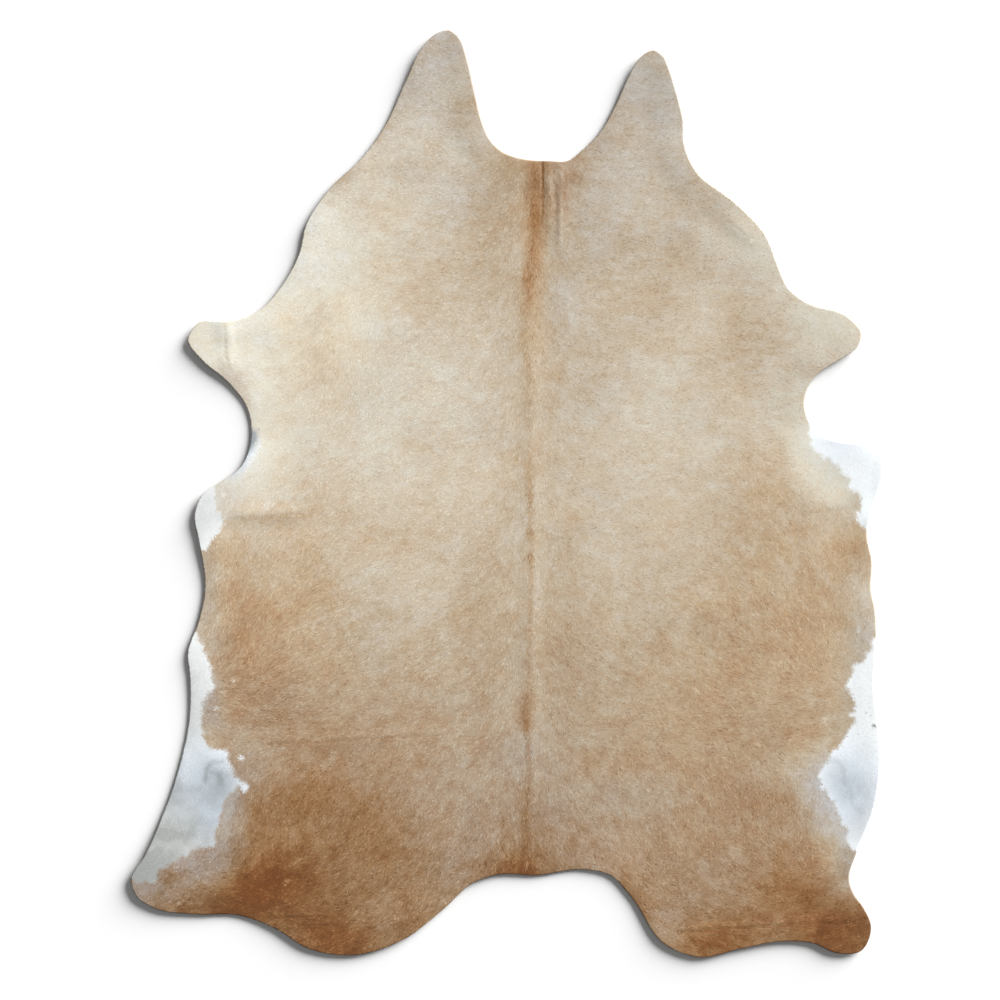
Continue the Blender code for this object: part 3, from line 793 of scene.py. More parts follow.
def shade_at(points):
    """How brown the coat is at each point, from 0 for cream to 1 for brown, painted shade and light
    included.
    """
    stations, shades = np.transpose(SHADE_ALONG)
    ground = np.interp(-points[:, 1], -stations, shades)
    ground += patchwork(wandered(points, PATCH_WANDER, PATCH_WANDER_SIZE, 11), SHADE_PATCHES)
    strength = UNEVEN[0] + UNEVEN[1] * ground.clip(0, 1)
    return ground + strength * clouds(points) + stripe(points) + marks_and_painted_crease_shade(points)


print(f"{len(SHADE_PATCHES)} patches of shade and {len(SPINE)} stations of the stripe")

# %% [markdown]
# ## The white patches
# The animal was pied: its hair was white along the flanks and in the armpits, with no fading
# between white and brown. Only the line between them is ragged, because each hair is wholly one
# colour and lies across its neighbours. Each patch is a shape drawn corner by corner along that
# line, closed by a few corners beyond the cut edge. How deep a spot is inside a patch decides its
# colour, and some small lumps make the line's teeth.

# %% Draw the white patches
CRISP = 0.0014
THIN_HAIR = 0.0080
WHITES = (  # name, how soft its edge is, its corners
    ("right armpit", CRISP, (
        (0.727, 0.168), (0.722, 0.149), (0.727, 0.122), (0.746, 0.096), (0.758, 0.089),
        (0.778, 0.077), (0.794, 0.065), (0.804, 0.055), (0.816, 0.038), (0.818, 0.017),
        (0.828, 0.012), (0.840, 0.007), (0.845, -0.005), (0.850, -0.014), (0.845, -0.034),
        (0.838, -0.062), (0.847, -0.077), (0.857, -0.084), (0.930, -0.085), (0.930, 0.190),
        (0.735, 0.190),
    )),
    ("right flank", CRISP, (
        (0.881, -0.346), (0.866, -0.379), (0.852, -0.396), (0.833, -0.410), (0.823, -0.430),
        (0.814, -0.456), (0.826, -0.480), (0.830, -0.502), (0.830, -0.526), (0.826, -0.530),
        (0.833, -0.545), (0.826, -0.557), (0.814, -0.581), (0.802, -0.595), (0.782, -0.617),
        (0.766, -0.638), (0.751, -0.670), (0.751, -0.691), (0.770, -0.718), (0.790, -0.749),
        (0.799, -0.775), (0.811, -0.806), (0.816, -0.842), (0.835, -0.857), (0.950, -0.857),
        (0.950, -0.346),
    )),
    ("left belly", CRISP, (
        (-0.722, -0.137), (-0.691, -0.091), (-0.679, -0.062), (-0.691, -0.038), (-0.698, 0.002),
        (-0.701, 0.017), (-0.800, 0.030), (-0.800, -0.130),
    )),
    ("left flank", CRISP, (
        (-0.746, -0.331), (-0.730, -0.362), (-0.720, -0.386), (-0.710, -0.422), (-0.703, -0.446),
        (-0.698, -0.461), (-0.715, -0.480), (-0.725, -0.492), (-0.730, -0.518), (-0.730, -0.576),
        (-0.715, -0.602), (-0.686, -0.612), (-0.672, -0.622), (-0.660, -0.662), (-0.641, -0.698),
        (-0.665, -0.715), (-0.679, -0.734), (-0.686, -0.770), (-0.698, -0.806), (-0.703, -0.845),
        (-0.732, -0.845), (-0.749, -0.854), (-0.780, -0.866), (-0.804, -0.883), (-0.830, -0.905),
        (-0.845, -0.924), (-0.881, -0.934), (-0.893, -0.926), (-0.950, -0.900), (-0.950, -0.331),
    )),
    ("left armpit", THIN_HAIR, (
        (-0.595, 0.150), (-0.598, 0.118), (-0.607, 0.094), (-0.622, 0.070), (-0.640, 0.045),
        (-0.660, 0.035), (-0.720, 0.060), (-0.700, 0.200), (-0.620, 0.160),
    )),
    ("left flank bit, upper", CRISP, (
        (-0.641, -0.626), (-0.634, -0.622), (-0.632, -0.634), (-0.640, -0.637),
    )),
    ("left flank bit, lower", CRISP, (
        (-0.652, -0.688), (-0.640, -0.684), (-0.622, -0.698), (-0.632, -0.712),
    )),
)
TEETH = ((0.016, 0.0040), (0.006, 0.0020))  # size, how far they move the line
COMBED_TEETH = 0.070


def teeth(points):
    """How far the line between white and brown is moved at each point."""
    return layered(points, TEETH, 21) + COMBED_TEETH * streaks(points)


def white_depth(points):
    """How many times its edge's softness each point is inside a white patch, or less than 0."""
    depths = [(depth_in(points, corners) + teeth(points)) / soft for _, soft, corners in WHITES]
    return np.max(depths, axis=0)


print(f"{len(WHITES)} white patches")

# %% [markdown]
# ## Grey and blue in the whites
# White hair isn't pure. It is thin where the flank meets the hind leg, and the dark skin shows
# through it as bluish bruises with a darker rim. Towards the left hock it is soiled grey.
# Both are laid on as soft patches, as the shade of the brown was. Some greys and blues are painted
# shade instead: the grey and blue crescent at the left armpit, the dark line in the left hock's
# fold, greys by the left edge of the left flank's white and thin grey strips along the right cut
# edge; the left belly's grey is partly painted shade.

# %% Lay the greys and the blues
GREY_EVERYWHERE = 0.01
DARKEST_SPECK = 1.6
# Some rows are painted shade: at the left armpit, by the left and right cut edges, and partly on the
# left belly.
GREYS = PATCH_UNITS * np.array([  # x, y, half width, half length, turn, how grey
    # The first row is partly painted shade; the last is painted shade by the left cut edge.
    (-72, -5, 16, 18, 0, 50), (-75, -46, 14, 22, 0, 54), (-78, -47, 4, 16, 0, 16),
    (-79, -80, 30, 34, 0, 84), (-68.5, -69, 8, 8, 0, 36), (-80, -72, 6, 6, -20, 14),
    # The middle row is painted shade by the left cut edge.
    (-79, -75.5, 6, 7, 0, -14), (-80, -66, 4, 7, 0, 14), (-81, -82, 7, 7, 0, 11),
    (-82.5, -81.5, 5, 2.5, -10, 18), (-88, -89, 12, 9, 0, 50), (-85.7, -88, 4, 2, -30, 26),
    # The last two rows here are painted shade in the left armpit.
    (-88, -94, 5, 5, 0, 16), (-60.8, 14.5, 3.4, 10, -20, 115), (-65, 5.5, 7, 5, 0, 55),
    (86, -37, 6, 6, 0, 12), (85, -50, 8, 20, 0, 4), (83, -66, 14, 30, 0, 12),
    (79, -68, 8, 9, 0, 42), (85, -77, 10, 14, 0, 44), (87, -69, 6, 14, 0, 20),
    # The first two rows here are painted shade along the right cut edge.
    (87.8, -46, 2.2, 16, 0, 14), (88.6, 3, 2.2, 9, 0, 14), (80, 12.5, 12, 1.8, -5, 10),
    (77.5, 11.8, 6, 1.8, -8, 8), (86, -8, 4, 5, 0, 36), (85.7, -52.6, 0.4, 0.4, 0, 250),
    (87.2, -53.4, 0.6, 0.3, -20, 250), (88.1, -55.7, 0.4, 0.4, 0, 200),
    (84.2, -57.6, 0.4, 0.4, 0, 180),
])
BLUES = PATCH_UNITS * np.array([  # x, y, half width, half length, turn, how blue
    (-72, -69, 16, 16, 0, 100), (-70, -79, 7, 11, 0, 55), (82, -71, 13, 18, 0, 100),
    # The last row here is painted shade in the left armpit.
    (79, 12, 10, 6, 0, 35), (87, -10, 30, 70, 0, 30), (-61, 11, 10, 12, 0, 90),
])
BRUISE_RIMS_AND_PAINTED_FOLD_SHADE = (  # name, its points, how grey
    ("left rim", ((-0.722, -0.684), (-0.718, -0.656), (-0.700, -0.640), (-0.678, -0.640)), 0.24),
    ("left inner rim", ((-0.706, -0.664), (-0.690, -0.668), (-0.684, -0.690)), 0.16),
    ("right rim", ((0.766, -0.646), (0.785, -0.636), (0.802, -0.650), (0.808, -0.690)), 0.16),
    ("right seam", ((0.822, -0.700), (0.828, -0.740), (0.850, -0.764)), 0.10),
    # The left hock fold's dark line is painted shade in the fold.
    ("left hock fold", ((-0.876, -0.846), (-0.855, -0.866), (-0.832, -0.872)), 0.32),
)
RIM_HALF_WIDTH = 0.009
GREY_CLOUDS = ((0.016, 0.10), (0.040, 0.10))  # size, how much greyer or cleaner


def grey_at(points):
    """How grey the white hair is at each point, from soiling and from painted shade."""
    grey = GREY_EVERYWHERE + patchwork(points, GREYS) * (1 + layered(points, GREY_CLOUDS, 91))
    for _, line, amount in BRUISE_RIMS_AND_PAINTED_FOLD_SHADE:
        grey = grey + amount * hump(line_reach(points, line)[0] / RIM_HALF_WIDTH)
    return grey.clip(0, DARKEST_SPECK)


def blue_at(points):
    """How blue the white hair is at each point, with painted shade at the left armpit."""
    return patchwork(points, BLUES).clip(0, 1)


print(f"{len(GREYS)} greys, {len(BLUES)} blues and {len(BRUISE_RIMS_AND_PAINTED_FOLD_SHADE)} darker rims")

# %% [markdown]
# ## One way to make every piece
# All the pieces are meshes of many small triangles, so they are filled from whole arrays of
# numbers rather than point by point. The shades and masks worked out above are stored on the points
# and the materials read them from there.

# %% Make a piece and store values on it


def new_piece(name, points, triangles):
    """A mesh object that rides on the frame and stands for the solid."""
    mesh = bpy.data.meshes.new(name)
    mesh.vertices.add(len(points))
    mesh.vertices.foreach_set("co", np.asarray(points, np.float32).ravel())
    mesh.loops.add(3 * len(triangles))
    mesh.loops.foreach_set("vertex_index", np.asarray(triangles, np.int32).ravel())
    mesh.polygons.add(len(triangles))
    mesh.polygons.foreach_set("loop_start", np.arange(0, 3 * len(triangles), 3, dtype=np.int32))
    mesh.update(calc_edges=True)
    piece = bpy.data.objects.new(name, mesh)
    bpy.context.scene.collection.objects.link(piece)
    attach(piece, "root")
    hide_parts("hide")
    return piece


def store(piece, values):
    """Stores named values on a piece, one for each of its points."""
    for name, numbers in values.items():
        spots = piece.data.attributes.new(name, "FLOAT", "POINT").data
        spots.foreach_set("value", np.asarray(numbers, np.float32))


def map_corners(piece, corners):
    """Gives each triangle corner its place on the flat picture that the colours are baked to."""
    layer = piece.data.uv_layers.new(name="OFBake")
    layer.uv.foreach_set("vector", np.asarray(corners, np.float32).ravel())


def upright_rim(count, below):
    """The triangles of the upright edge between a border of that many points and its copy below."""
    first = np.arange(count)
    second = np.roll(first, -1)
    corners = ((first, first + below, second + below), (first, second + below, second))
    return np.vstack([np.stack(three, axis=1) for three in corners])


print("pieces are made from whole arrays")

# %% [markdown]
# ## The skin
# Under the coat is the hide itself: leather 2.5 mm thick, split and sueded on the flesh side. It
# shows only as the pale cut edge and the underside. Its top and bottom are the same sheet of
# triangles, one skin's thickness apart, with an upright edge between them.

# %% Make the skin
SKIN_STEP = 0.022
SKIN_CREASE_STEP = 0.007
SKIN_INSETS = (0.0060,)
SHARP_OVER = 50.0

skin_spots, top = joined(outline, SKIN_INSETS, SKIN_STEP, SKIN_CREASE_STEP)
skin_lift = lift_at(skin_spots)
skin_points = [np.column_stack([skin_spots, skin_lift + extra]) for extra in (SKIN, 0)]
skin_edge = upright_rim(len(outline), len(skin_spots))
skin_triangles = np.vstack([top, top[:, ::-1] + len(skin_spots), skin_edge])
hide_skin = new_piece("hide_skin", np.vstack(skin_points), skin_triangles)
hide_skin.data.set_sharp_from_angle(angle=np.radians(SHARP_OVER))
print(f"skin: {len(hide_skin.data.polygons)} triangles")

# %% [markdown]
# ## The ground of the coat
# Between the locks the eye meets more hair, lying deeper. One closed sheet stands for it. Its top
# is nearly the coat's full height and rounds down to the cut edge, and its underside is hidden in
# the skin. The top's colours are baked as seen from straight above, and the hidden faces go to a
# corner of that picture where there is no hide.

# %% Make the ground of the coat
COAT_DEPTH = 0.0028
ROUNDING, ROUNDED_OFF = 0.0030, 0.05  # how wide, and how much of the depth it takes
TUCK = 0.0004
UNDER_STEP, UNDER_INSETS = 0.034, (0.0080,)
SPARE_CORNER = (0.965, 0.930)
SPARE_SIZE = 0.03
GROUND_BLEND = 1.5  # how far the white's edge fades here to each side, in its softnesses
GROUND_TIP = 0.3
# Painted shade: the coat is painted darker within a few millimetres of the cut edge, less in white.
PAINTED_EDGE_SHADE, PAINTED_EDGE_SHADE_WIDTH, LESS_IN_WHITE = 0.12, 0.003, 0.3


def roundness(edge):
    """1 from the rounding inwards and a little less outside it. It is 0 on the cut edge itself."""
    part = (1 - edge / ROUNDING).clip(0, 1)
    return np.where(edge > 0, 1 - ROUNDED_OFF * part * part, 0)


def painted_edge_shade(edge, white):
    """How much darker the coat is painted where it turns down to the cut edge: painted shade."""
    return PAINTED_EDGE_SHADE * hump(edge / PAINTED_EDGE_SHADE_WIDTH) * (1 - LESS_IN_WHITE * white)


under_spots, under = joined(outline, UNDER_INSETS, UNDER_STEP, UNDER_STEP)
rim = len(outline)
under = np.where(under < rim, under, under + len(coat_spots) - rim)[:, ::-1]
ground_spots = np.vstack([coat_spots, under_spots[rim:]])
ground_edge = edge_distance(ground_spots)
ground_edge[:rim] = 0
heights = lift_at(ground_spots) + SKIN - TUCK
above = slice(len(coat_spots))
heights[above] += (COAT_DEPTH + TUCK) * roundness(ground_edge[above])
ground_points = np.column_stack([ground_spots, heights])
hide_coat = new_piece("hide_coat", ground_points, np.vstack([coat_triangles, under]))

picture = (ground_spots - low_corner) / (high_corner - low_corner)
hidden = SPARE_CORNER + SPARE_SIZE * picture[under.ravel()]
map_corners(hide_coat, np.vstack([picture[coat_triangles.ravel()], hidden]))
ground_white = ease(white_depth(ground_spots), -GROUND_BLEND, GROUND_BLEND)
ground_values = {
    "shade": shade_at(ground_spots),
    "white": ground_white,
    "warm": warmth_at(ground_spots),
    "grey": grey_at(ground_spots),
    "blue": blue_at(ground_spots),
    # The ground's tone is nothing but the painted shade at the cut edge.
    "tone": -painted_edge_shade(ground_edge, ground_white),
    "tip": np.full(len(ground_spots), GROUND_TIP),
}
store(hide_coat, ground_values)
print(f"coat ground: {len(hide_coat.data.polygons)} triangles")

# %% [markdown]
# ## The locks of hair
# Short cattle hair clings together in small flat locks that overlap like thatch. Each lock here is
# a closed sliver with six faces: sunk at its root, widest and highest a little before its middle,
# and pointed at its tip. The roots are spread evenly and then each is nudged at random. A lock
# takes its colour from its root, so brown ones lie over the white at a patch's edge.

# %% Plant the locks
LOCK_STEP = 0.0049
LOCK_NUDGE = 0.38
LOCK_LENGTH = 0.0115
LOCK_WIDTH = 0.0027
LOCK_HEIGHT = 0.00008
LOCK_TURN = 20.0
LENGTHS, WIDTHS, HEIGHTS = (0.75, 1.25), (0.65, 1.35), (0.5, 1.5)  # least and most of the usual
ROOT_MARGIN = 0.0006
LONG_HAIR = PATCH_UNITS * np.array([  # x, y, half width, half length, turn, how much longer
    (-55, -35, 30, 40, 0, 40), (60, -40, 30, 40, 0, 40), (0, -98, 100, 30, 0, 35),
])
STRIPE_LENGTH = 0.8
SHORT_AT_WHITE, WHITE_MARGIN = 0.45, 0.030
SHORT_AT_EDGE, EDGE_MARGIN = 0.40, 0.025
TIP_REACH = 0.85  # how far the tip is from the root, as a share of the length
CUTS, CUT_TO = 5, 0.7  # how often a lock over the edge is cut, and to what share

roots = kept_inside(staggered(LOCK_STEP, LOCK_NUDGE, 41), ROOT_MARGIN)
chance = np.random.default_rng(42)
count = len(roots)
root_edge = edge_distance(roots)
length = LOCK_LENGTH * (1 + patchwork(roots, LONG_HAIR) + STRIPE_LENGTH * stripe(roots))
length *= chance.uniform(*LENGTHS, count)
root_white = white_depth(roots)
length *= 1 - SHORT_AT_WHITE * hump(root_white * CRISP / WHITE_MARGIN)
length *= 1 - SHORT_AT_EDGE * hump(root_edge / EDGE_MARGIN)
width = LOCK_WIDTH * chance.uniform(*WIDTHS, count)
height = LOCK_HEIGHT * chance.uniform(*HEIGHTS, count)
turn = np.radians(LOCK_TURN) * chance.standard_normal(count)
x, y = heading_at(roots).T
ahead = np.stack([x * np.cos(turn) - y * np.sin(turn), x * np.sin(turn) + y * np.cos(turn)], axis=1)
for _ in range(CUTS):
    near = np.flatnonzero(root_edge < length)
    tips = roots[near] + TIP_REACH * length[near, None] * ahead[near]
    length[near[~inside_loop(tips, outline)]] *= CUT_TO
print(f"{count} locks, {length.min() * 1000:.1f} to {length.max() * 1000:.1f} mm long")

# %% Give each lock its own tone
GRAIN = (0.112, 0.235)  # in cream hair, and how much more in brown hair
GRAIN_MOST = 0.31
GRAIN_IN_WHITE = 0.30
DARK_TAIL = (0.12, -0.08)  # in cream hair, and how much more in brown hair
OWN_TONE, OWN_MOST = 0.75, 1.7
TONE_AS_SHADE, TONE_KEPT = 0.36, 0.56
OWN_WARMTH = 0.12


def grain_at(shade, white):
    """How much single locks differ from each other."""
    grain = np.minimum(GRAIN[0] + GRAIN[1] * shade, GRAIN_MOST)
    return grain * (1 - (1 - GRAIN_IN_WHITE) * white)


lock_shade = shade_at(roots)
lock_white = (root_white + chance.standard_normal(count) > 0).astype(float)
own = chance.standard_normal(count).clip(-OWN_MOST, OWN_MOST)
dark_tail = DARK_TAIL[0] + DARK_TAIL[1] * lock_shade
tone = OWN_TONE * own - dark_tail * (own * own - 1)
tone *= grain_at(lock_shade, lock_white)
lock_shade -= TONE_AS_SHADE * tone
tone *= np.where(lock_white > 0, 1, TONE_KEPT)
# Painted shade at the cut edge darkens the locks there.
tone -= painted_edge_shade(root_edge, lock_white)
lock_warmth = warmth_at(roots) + OWN_WARMTH * chance.standard_normal(count)
print(f"tone from {tone.min():.2f} to {tone.max():.2f}")

# %% Shape the locks
LOCK_FACES = np.array([(0, 2, 3), (0, 3, 1), (4, 3, 2), (4, 1, 3), (0, 1, 2), (4, 2, 1)])
LOCK_BEND = 0.10
SUNK = 0.0004
TIP_RISE, TIP_RISES = 0.00006, (0.2, 1.4)

aside = np.stack([-ahead[:, 1], ahead[:, 0]], axis=1)
bend = LOCK_BEND * chance.standard_normal(count)
LOCK_FORM = (  # share of the length, of the width and of the bend, height over the ground
    (-0.15, 0.0, 0.0, -SUNK),
    (0.24, 0.5, 0.2, 0.0),
    (0.24, -0.5, 0.2, 0.0),
    (0.30, 0.0, 0.3, height),
    (TIP_REACH, 0.0, 1.0, TIP_RISE * chance.uniform(*TIP_RISES, count)),
)
corners = []
for along, across, bent, rise in LOCK_FORM:
    sideways = across * width + bent * bend * length
    spot = roots + (along * length)[:, None] * ahead + sideways[:, None] * aside
    corners.append(np.column_stack([spot, rise + np.zeros(count)]))
corners = np.stack(corners, axis=1)
flat_corners = corners[:, :, :2].reshape(-1, 2)
corner_edge = np.full(len(flat_corners), ROUNDING)
near = np.repeat(root_edge < ROUNDING + length, len(LOCK_FORM))
corner_edge[near] = edge_distance(flat_corners[near]) * inside_loop(flat_corners[near], outline)
ground_top = SKIN + COAT_DEPTH * roundness(corner_edge)
corners[:, :, 2] += (lift_at(flat_corners) + ground_top).reshape(-1, len(LOCK_FORM))
print(f"highest hair tip {corners[:, :, 2].max() * 1000:.1f} mm")

# %% [markdown]
# ## Five bundles
# The locks are joined into five bundles that run from the neck to the rump side by side, so that
# each stays a size that is quick to handle. On the flat picture for baked colours each lock has a
# little square of its own.

# %% Join the locks into bundles
BUNDLES = ("hair_left_belly", "hair_left_side", "hair_back", "hair_right_side", "hair_right_belly")
CELL_CORNERS = np.array([(0.15, 0.50), (0.50, 0.85), (0.50, 0.15), (0.50, 0.50), (0.85, 0.50)])
CELL_UNDERSIDE = np.array([(0.04, 0.04), (0.12, 0.04), (0.04, 0.12)])
LOCK_TIPS = (0.0, 0.45, 0.45, 0.5, 1.0)  # 0 at the root and 1 at the tip, for each corner
BUNDLE_BLUR = 0.002

lock_values = {
    "shade": lock_shade,
    "warm": lock_warmth,
    "white": lock_white,
    "grey": grey_at(roots),
    "blue": blue_at(roots),
    "tone": tone,
}
order = np.argsort(roots[:, 0] + BUNDLE_BLUR * chance.standard_normal(count))
shape = CELL_CORNERS[LOCK_FACES]
shape[4:] = CELL_UNDERSIDE
hair = []
for name, members in zip(BUNDLES, np.array_split(order, len(BUNDLES))):
    amount = len(members)
    first = len(LOCK_FORM) * np.arange(amount)
    faces = (LOCK_FACES[None] + first[:, None, None]).reshape(-1, 3)
    bundle = new_piece(name, corners[members].reshape(-1, 3), faces)
    bundle.data.set_sharp_from_angle(angle=np.radians(SHARP_OVER))
    side = int(np.ceil(np.sqrt(amount)))
    cell = np.stack([np.arange(amount) % side, np.arange(amount) // side], axis=1)
    map_corners(bundle, (cell[:, None, None] + shape[None]) / side)
    store(bundle, {k: np.repeat(v[members], len(LOCK_FORM)) for k, v in lock_values.items()})
    store(bundle, {"tip": np.tile(LOCK_TIPS, amount)})
    hair.append(bundle)
    print(f"{name}: {len(bundle.data.polygons)} triangles")

# %% [markdown]
# ## The coat's colour
# The brown goes from cream through fawn to a red brown. All of its steps are hairs of the same
# two pigments in other shares, so one ramp holds them. The white is mixed from clean and a grey
# that stands for soiling and for painted shade, with blue where the skin shows through and as
# painted shade at the left armpit. Single locks are lighter or darker, roots are a little darker
# than tips, and the tone also brings the painted shade at the cut edge. The ground and the locks
# share this one group.

# %% Mix the coat's colour
BROWNS = (  # shade, red, green and blue as a screen shows them
    (-0.10, (242, 239, 226)),
    (0.10, (228, 221, 203)),
    (0.30, (208, 195, 175)),
    (0.50, (189, 169, 142)),
    (0.70, (170, 142, 113)),
    (0.90, (152, 119, 84)),
    (1.10, (130, 92, 56)),
    (1.30, (108, 72, 40)),
)
SHADE_LOW, SHADE_HIGH = BROWNS[0][0], BROWNS[-1][0]
CLEAN_WHITE = (0.938, 0.962, 0.960, 1.0)  # the share of light that it sends back
# The grey that white hair is mixed towards, for soiling and for painted shade alike.
SOILED_AND_SHADED_WHITE = (163, 165, 162)
BLUE_SHIFT = (0.90, 0.96, 1.06)
LIGHT_ON_HIDE = 1.195
WARM_SHIFT = (0.085, 0.0, -0.190)
RUST_SHIFT = (0.0, -0.045, 0.0)  # more for the warm side alone
ROOT_DARKNESS = 0.03
ROUGHNESS, ROUGHER_IF_LIGHT = 0.62, 0.25


def linear(colour):
    """A colour as a screen shows it, turned into the share of light that it sends back."""
    share = np.array(colour) / 255
    share = np.where(share <= 0.04045, share / 12.92, ((share + 0.055) / 1.055) ** 2.4)
    return (*(share / LIGHT_ON_HIDE).clip(0, 1), 1.0)


def group(name, inputs, outputs):
    """An empty node group with those sockets, its start and its end."""
    made = bpy.data.node_groups.new(name, "ShaderNodeTree")
    for label, kind in inputs:
        made.interface.new_socket(label, in_out="INPUT", socket_type=kind)
    for label, kind in outputs:
        made.interface.new_socket(label, in_out="OUTPUT", socket_type=kind)
    return made, made.nodes.new("NodeGroupInput"), made.nodes.new("NodeGroupOutput")


def add(tree, kind, **settings):
    """A new node with those settings."""
    node = tree.nodes.new(kind)
    for key, value in settings.items():
        setattr(node, key, value)
    return node


def stored(tree, name):
    """The output of a node that reads a value stored on the points."""
    return add(tree, "ShaderNodeAttribute", attribute_name=name).outputs["Fac"]


def feed(tree, sockets, values):
    """Gives each socket its value, which is a fixed one or the output of another node."""
    for socket, value in zip(sockets, values):
        if isinstance(value, bpy.types.NodeSocket):
            tree.links.new(value, socket)
        elif value is not None:
            socket.default_value = value


def worked(tree, operation, *values, kind="ShaderNodeMath"):
    """The output of a small sum of values."""
    node = add(tree, kind, operation=operation)
    feed(tree, node.inputs, values)
    return node.outputs[0]


def scaled(tree, vector, strength):
    """The output of a vector or a colour times a strength."""
    return worked(tree, "SCALE", vector, None, None, strength, kind="ShaderNodeVectorMath")


def blended(tree, share, first, second, how="MIX"):
    """The output of a mix of two colours."""
    node = add(tree, "ShaderNodeMix", data_type="RGBA", blend_type=how)
    feed(tree, (node.inputs[0], node.inputs[6], node.inputs[7]), (share, first, second))
    return node.outputs[2]


coat_outputs = (("Color", "NodeSocketColor"), ("Roughness", "NodeSocketFloat"))
mix, _, coat_out = group("coat_colour", (), coat_outputs)
shade, warm, white, grey, blue, tone, tip = (
    stored(mix, name) for name in ("shade", "warm", "white", "grey", "blue", "tone", "tip")
)

span = SHADE_HIGH - SHADE_LOW
ramp = add(mix, "ShaderNodeValToRGB")
feed(mix, ramp.inputs, [worked(mix, "MULTIPLY_ADD", shade, 1 / span, -SHADE_LOW / span)])
steps = ramp.color_ramp.elements
while len(steps) < len(BROWNS):
    steps.new(0.5)
for step, (place, colour) in zip(steps, BROWNS):
    step.position = (place - SHADE_LOW) / span
    step.color = linear(colour)

brown = ramp.outputs[0]
shifts = [scaled(mix, WARM_SHIFT, warm), scaled(mix, RUST_SHIFT, worked(mix, "MAXIMUM", warm, 0.0))]
shift = worked(mix, "ADD", *shifts, kind="ShaderNodeVectorMath")
brown = worked(mix, "MULTIPLY_ADD", shift, brown, brown, kind="ShaderNodeVectorMath")
pale = blended(mix, grey, CLEAN_WHITE, linear(SOILED_AND_SHADED_WHITE))
pale = blended(mix, blue, pale, (*BLUE_SHIFT, 1.0), "MULTIPLY")
root = worked(mix, "MULTIPLY_ADD", tip, ROOT_DARKNESS, 1 - ROOT_DARKNESS)
# The tone brings each lock's own lightness and the painted shade at the cut edge.
grain = worked(mix, "MULTIPLY", worked(mix, "ADD", tone, 1.0), root)
colour = scaled(mix, blended(mix, white, brown, pale), grain)
rough = worked(mix, "MULTIPLY_ADD", tone, ROUGHER_IF_LIGHT, ROUGHNESS)
feed(mix, coat_out.inputs, (colour, rough))
print("coat colour mixed from", len(BROWNS), "browns")

# %% Make the coat's materials
NAP_INPUTS = [(name, "NodeSocketFloat") for name in ("Scale", "Strength", "Distance")]
NAP_DETAIL = 2.0
GROUND_NAP = (420.0, 0.5, 0.0006)

nap, nap_in, nap_out = group("nap", NAP_INPUTS, [("Normal", "NodeSocketVector")])
fibres = add(nap, "ShaderNodeTexNoise")
relief = add(nap, "ShaderNodeBump")
spots = add(nap, "ShaderNodeTexCoord")
fibres.inputs["Detail"].default_value = NAP_DETAIL
nap.links.new(spots.outputs["Object"], fibres.inputs["Vector"])
nap.links.new(nap_in.outputs["Scale"], fibres.inputs["Scale"])
nap.links.new(nap_in.outputs["Strength"], relief.inputs["Strength"])
nap.links.new(nap_in.outputs["Distance"], relief.inputs["Distance"])
nap.links.new(fibres.outputs["Fac"], relief.inputs["Height"])
nap.links.new(relief.outputs["Normal"], nap_out.inputs["Normal"])


def material(name, roughness, shine):
    """A new material, its nodes and its shader."""
    made = bpy.data.materials.new(name)
    made.use_nodes = True
    shader = made.node_tree.nodes["Principled BSDF"]
    shader.inputs["Roughness"].default_value = roughness
    shader.inputs["Specular IOR Level"].default_value = shine
    return made, made.node_tree, shader


def coat_material(name):
    """Hair: the shared colour, a soft sheen and no other finish."""
    made, nodes, shader = material(name, ROUGHNESS, 0.30)
    colour = add(nodes, "ShaderNodeGroup", node_tree=mix)
    feed(nodes, (shader.inputs["Base Color"], shader.inputs["Roughness"]), colour.outputs)
    return made, nodes, shader


def napped(nodes, shader, values):
    """Gives a material the fine relief of fibres: how many in a metre, how strong and how high."""
    fine = add(nodes, "ShaderNodeGroup", node_tree=nap)
    feed(nodes, fine.inputs, values)
    nodes.links.new(fine.outputs["Normal"], shader.inputs["Normal"])


hair_material, _, _ = coat_material("hair")
for bundle in hair:
    bundle.data.materials.append(hair_material)
ground_material, nodes, shader = coat_material("coat_ground")
napped(nodes, shader, GROUND_NAP)
hide_coat.data.materials.append(ground_material)
print("two coat materials made")

# %% [markdown]
# ## Suede
# The flesh side of the hide is sueded and a little uneven in colour, a pale buff with greyer
# clouds. The same leather shows as the thin cut edge.

# %% Make the suede
SUEDE_PALE = (214, 204, 186)
SUEDE_DEEP = (186, 174, 154)
CLOUD_SCALE, CLOUD_DETAIL = 9.0, 4.0
SUEDE_NAP = (700.0, 0.4, 0.0003)

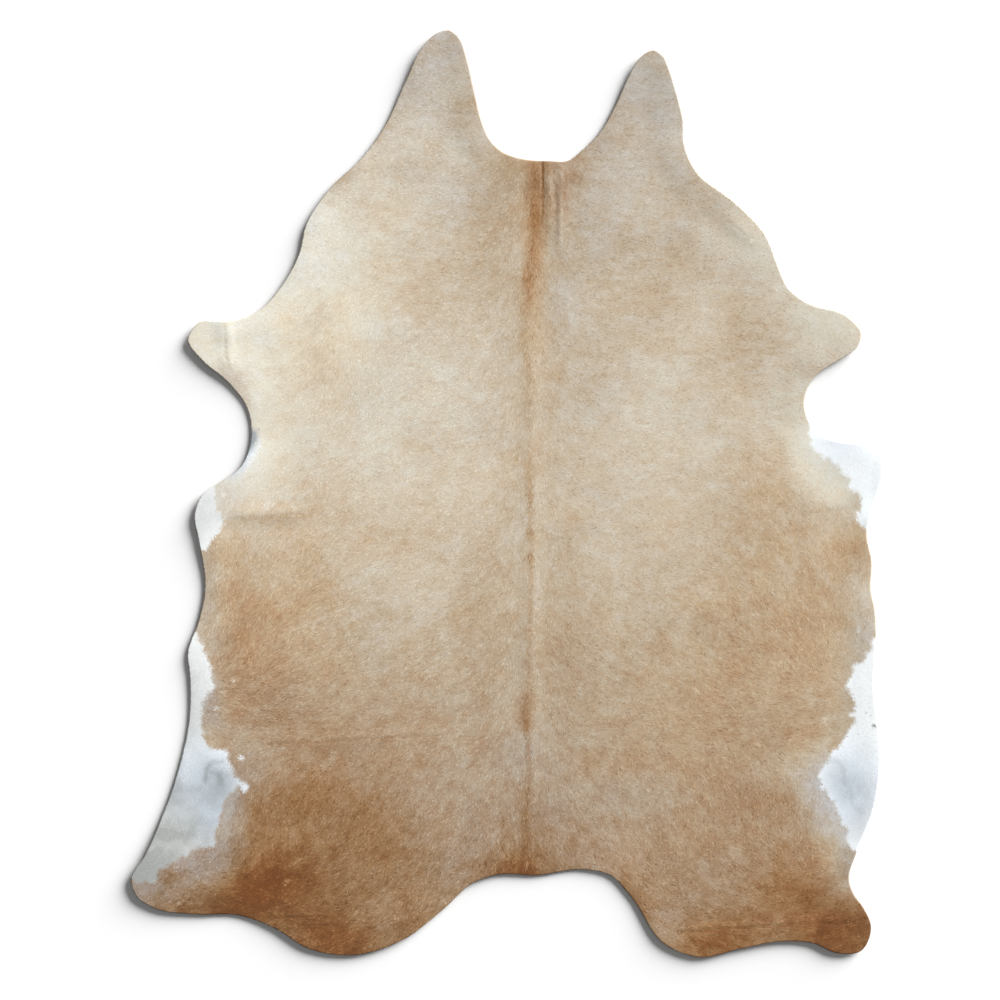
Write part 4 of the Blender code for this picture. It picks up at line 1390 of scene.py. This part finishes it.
suede, nodes, shader = material("suede", 0.9, 0.2)
spots = add(nodes, "ShaderNodeTexCoord")
cloudy = add(nodes, "ShaderNodeTexNoise")
values = (spots.outputs["Object"], CLOUD_SCALE, CLOUD_DETAIL)
feed(nodes, [cloudy.inputs[name] for name in ("Vector", "Scale", "Detail")], values)
colour = blended(nodes, cloudy.outputs["Fac"], linear(SUEDE_PALE), linear(SUEDE_DEEP))
nodes.links.new(colour, shader.inputs["Base Color"])
napped(nodes, shader, SUEDE_NAP)
hide_skin.data.materials.append(suede)
print("suede made")

# %% [markdown]
# ## The floor and the light
# The photograph was taken on white with a soft light from the upper right, so the shadow falls at
# the left and lower edges only. A wide sun low over the rug gives that shadow, and an even white
# sky fills it.

# %% Lay the floor and light it
FLOOR_SIZE = 60.0
FLOOR_GAP = 0.0003
FLOOR_WHITE = 0.84
SUN_AROUND = 42.0
SUN_UP = 20.0
SUN_WIDTH = 39.0
SUN_SHARE = 1.00
SKY_SHARE = 0.21

far = FLOOR_SIZE / 2
square = ((-far, -far), (far, -far), (far, far), (-far, far))
floor_mesh = bpy.data.meshes.new("floor")
floor_mesh.from_pydata([(x, y, -FLOOR_GAP) for x, y in square], [], [(0, 1, 2, 3)])
floor = bpy.data.objects.new("floor", floor_mesh)
bpy.context.scene.collection.objects.link(floor)
floor_material, _, shader = material("floor", 0.9, 0.0)
shader.inputs["Base Color"].default_value = (FLOOR_WHITE, FLOOR_WHITE, FLOOR_WHITE, 1.0)
floor_mesh.materials.append(floor_material)

around, up = np.radians((SUN_AROUND, SUN_UP))
sun = bpy.data.lights.new("sun", "SUN")
sun.energy = SUN_SHARE * np.pi / np.sin(up)
sun.angle = np.radians(SUN_WIDTH)
sun_place = bpy.data.objects.new("sun", sun)
towards_sun = Vector((np.cos(up) * np.cos(around), np.cos(up) * np.sin(around), np.sin(up)))
sun_place.rotation_euler = towards_sun.to_track_quat("Z", "Y").to_euler()
bpy.context.scene.collection.objects.link(sun_place)

sky = bpy.data.worlds.new("sky")
sky.use_nodes = True
background = sky.node_tree.nodes["Background"]
background.inputs["Color"].default_value = (1.0, 1.0, 1.0, 1.0)
background.inputs["Strength"].default_value = SKY_SHARE
bpy.context.scene.world = sky
bpy.context.scene.view_settings.view_transform = "Standard"
print("floor laid and lit")
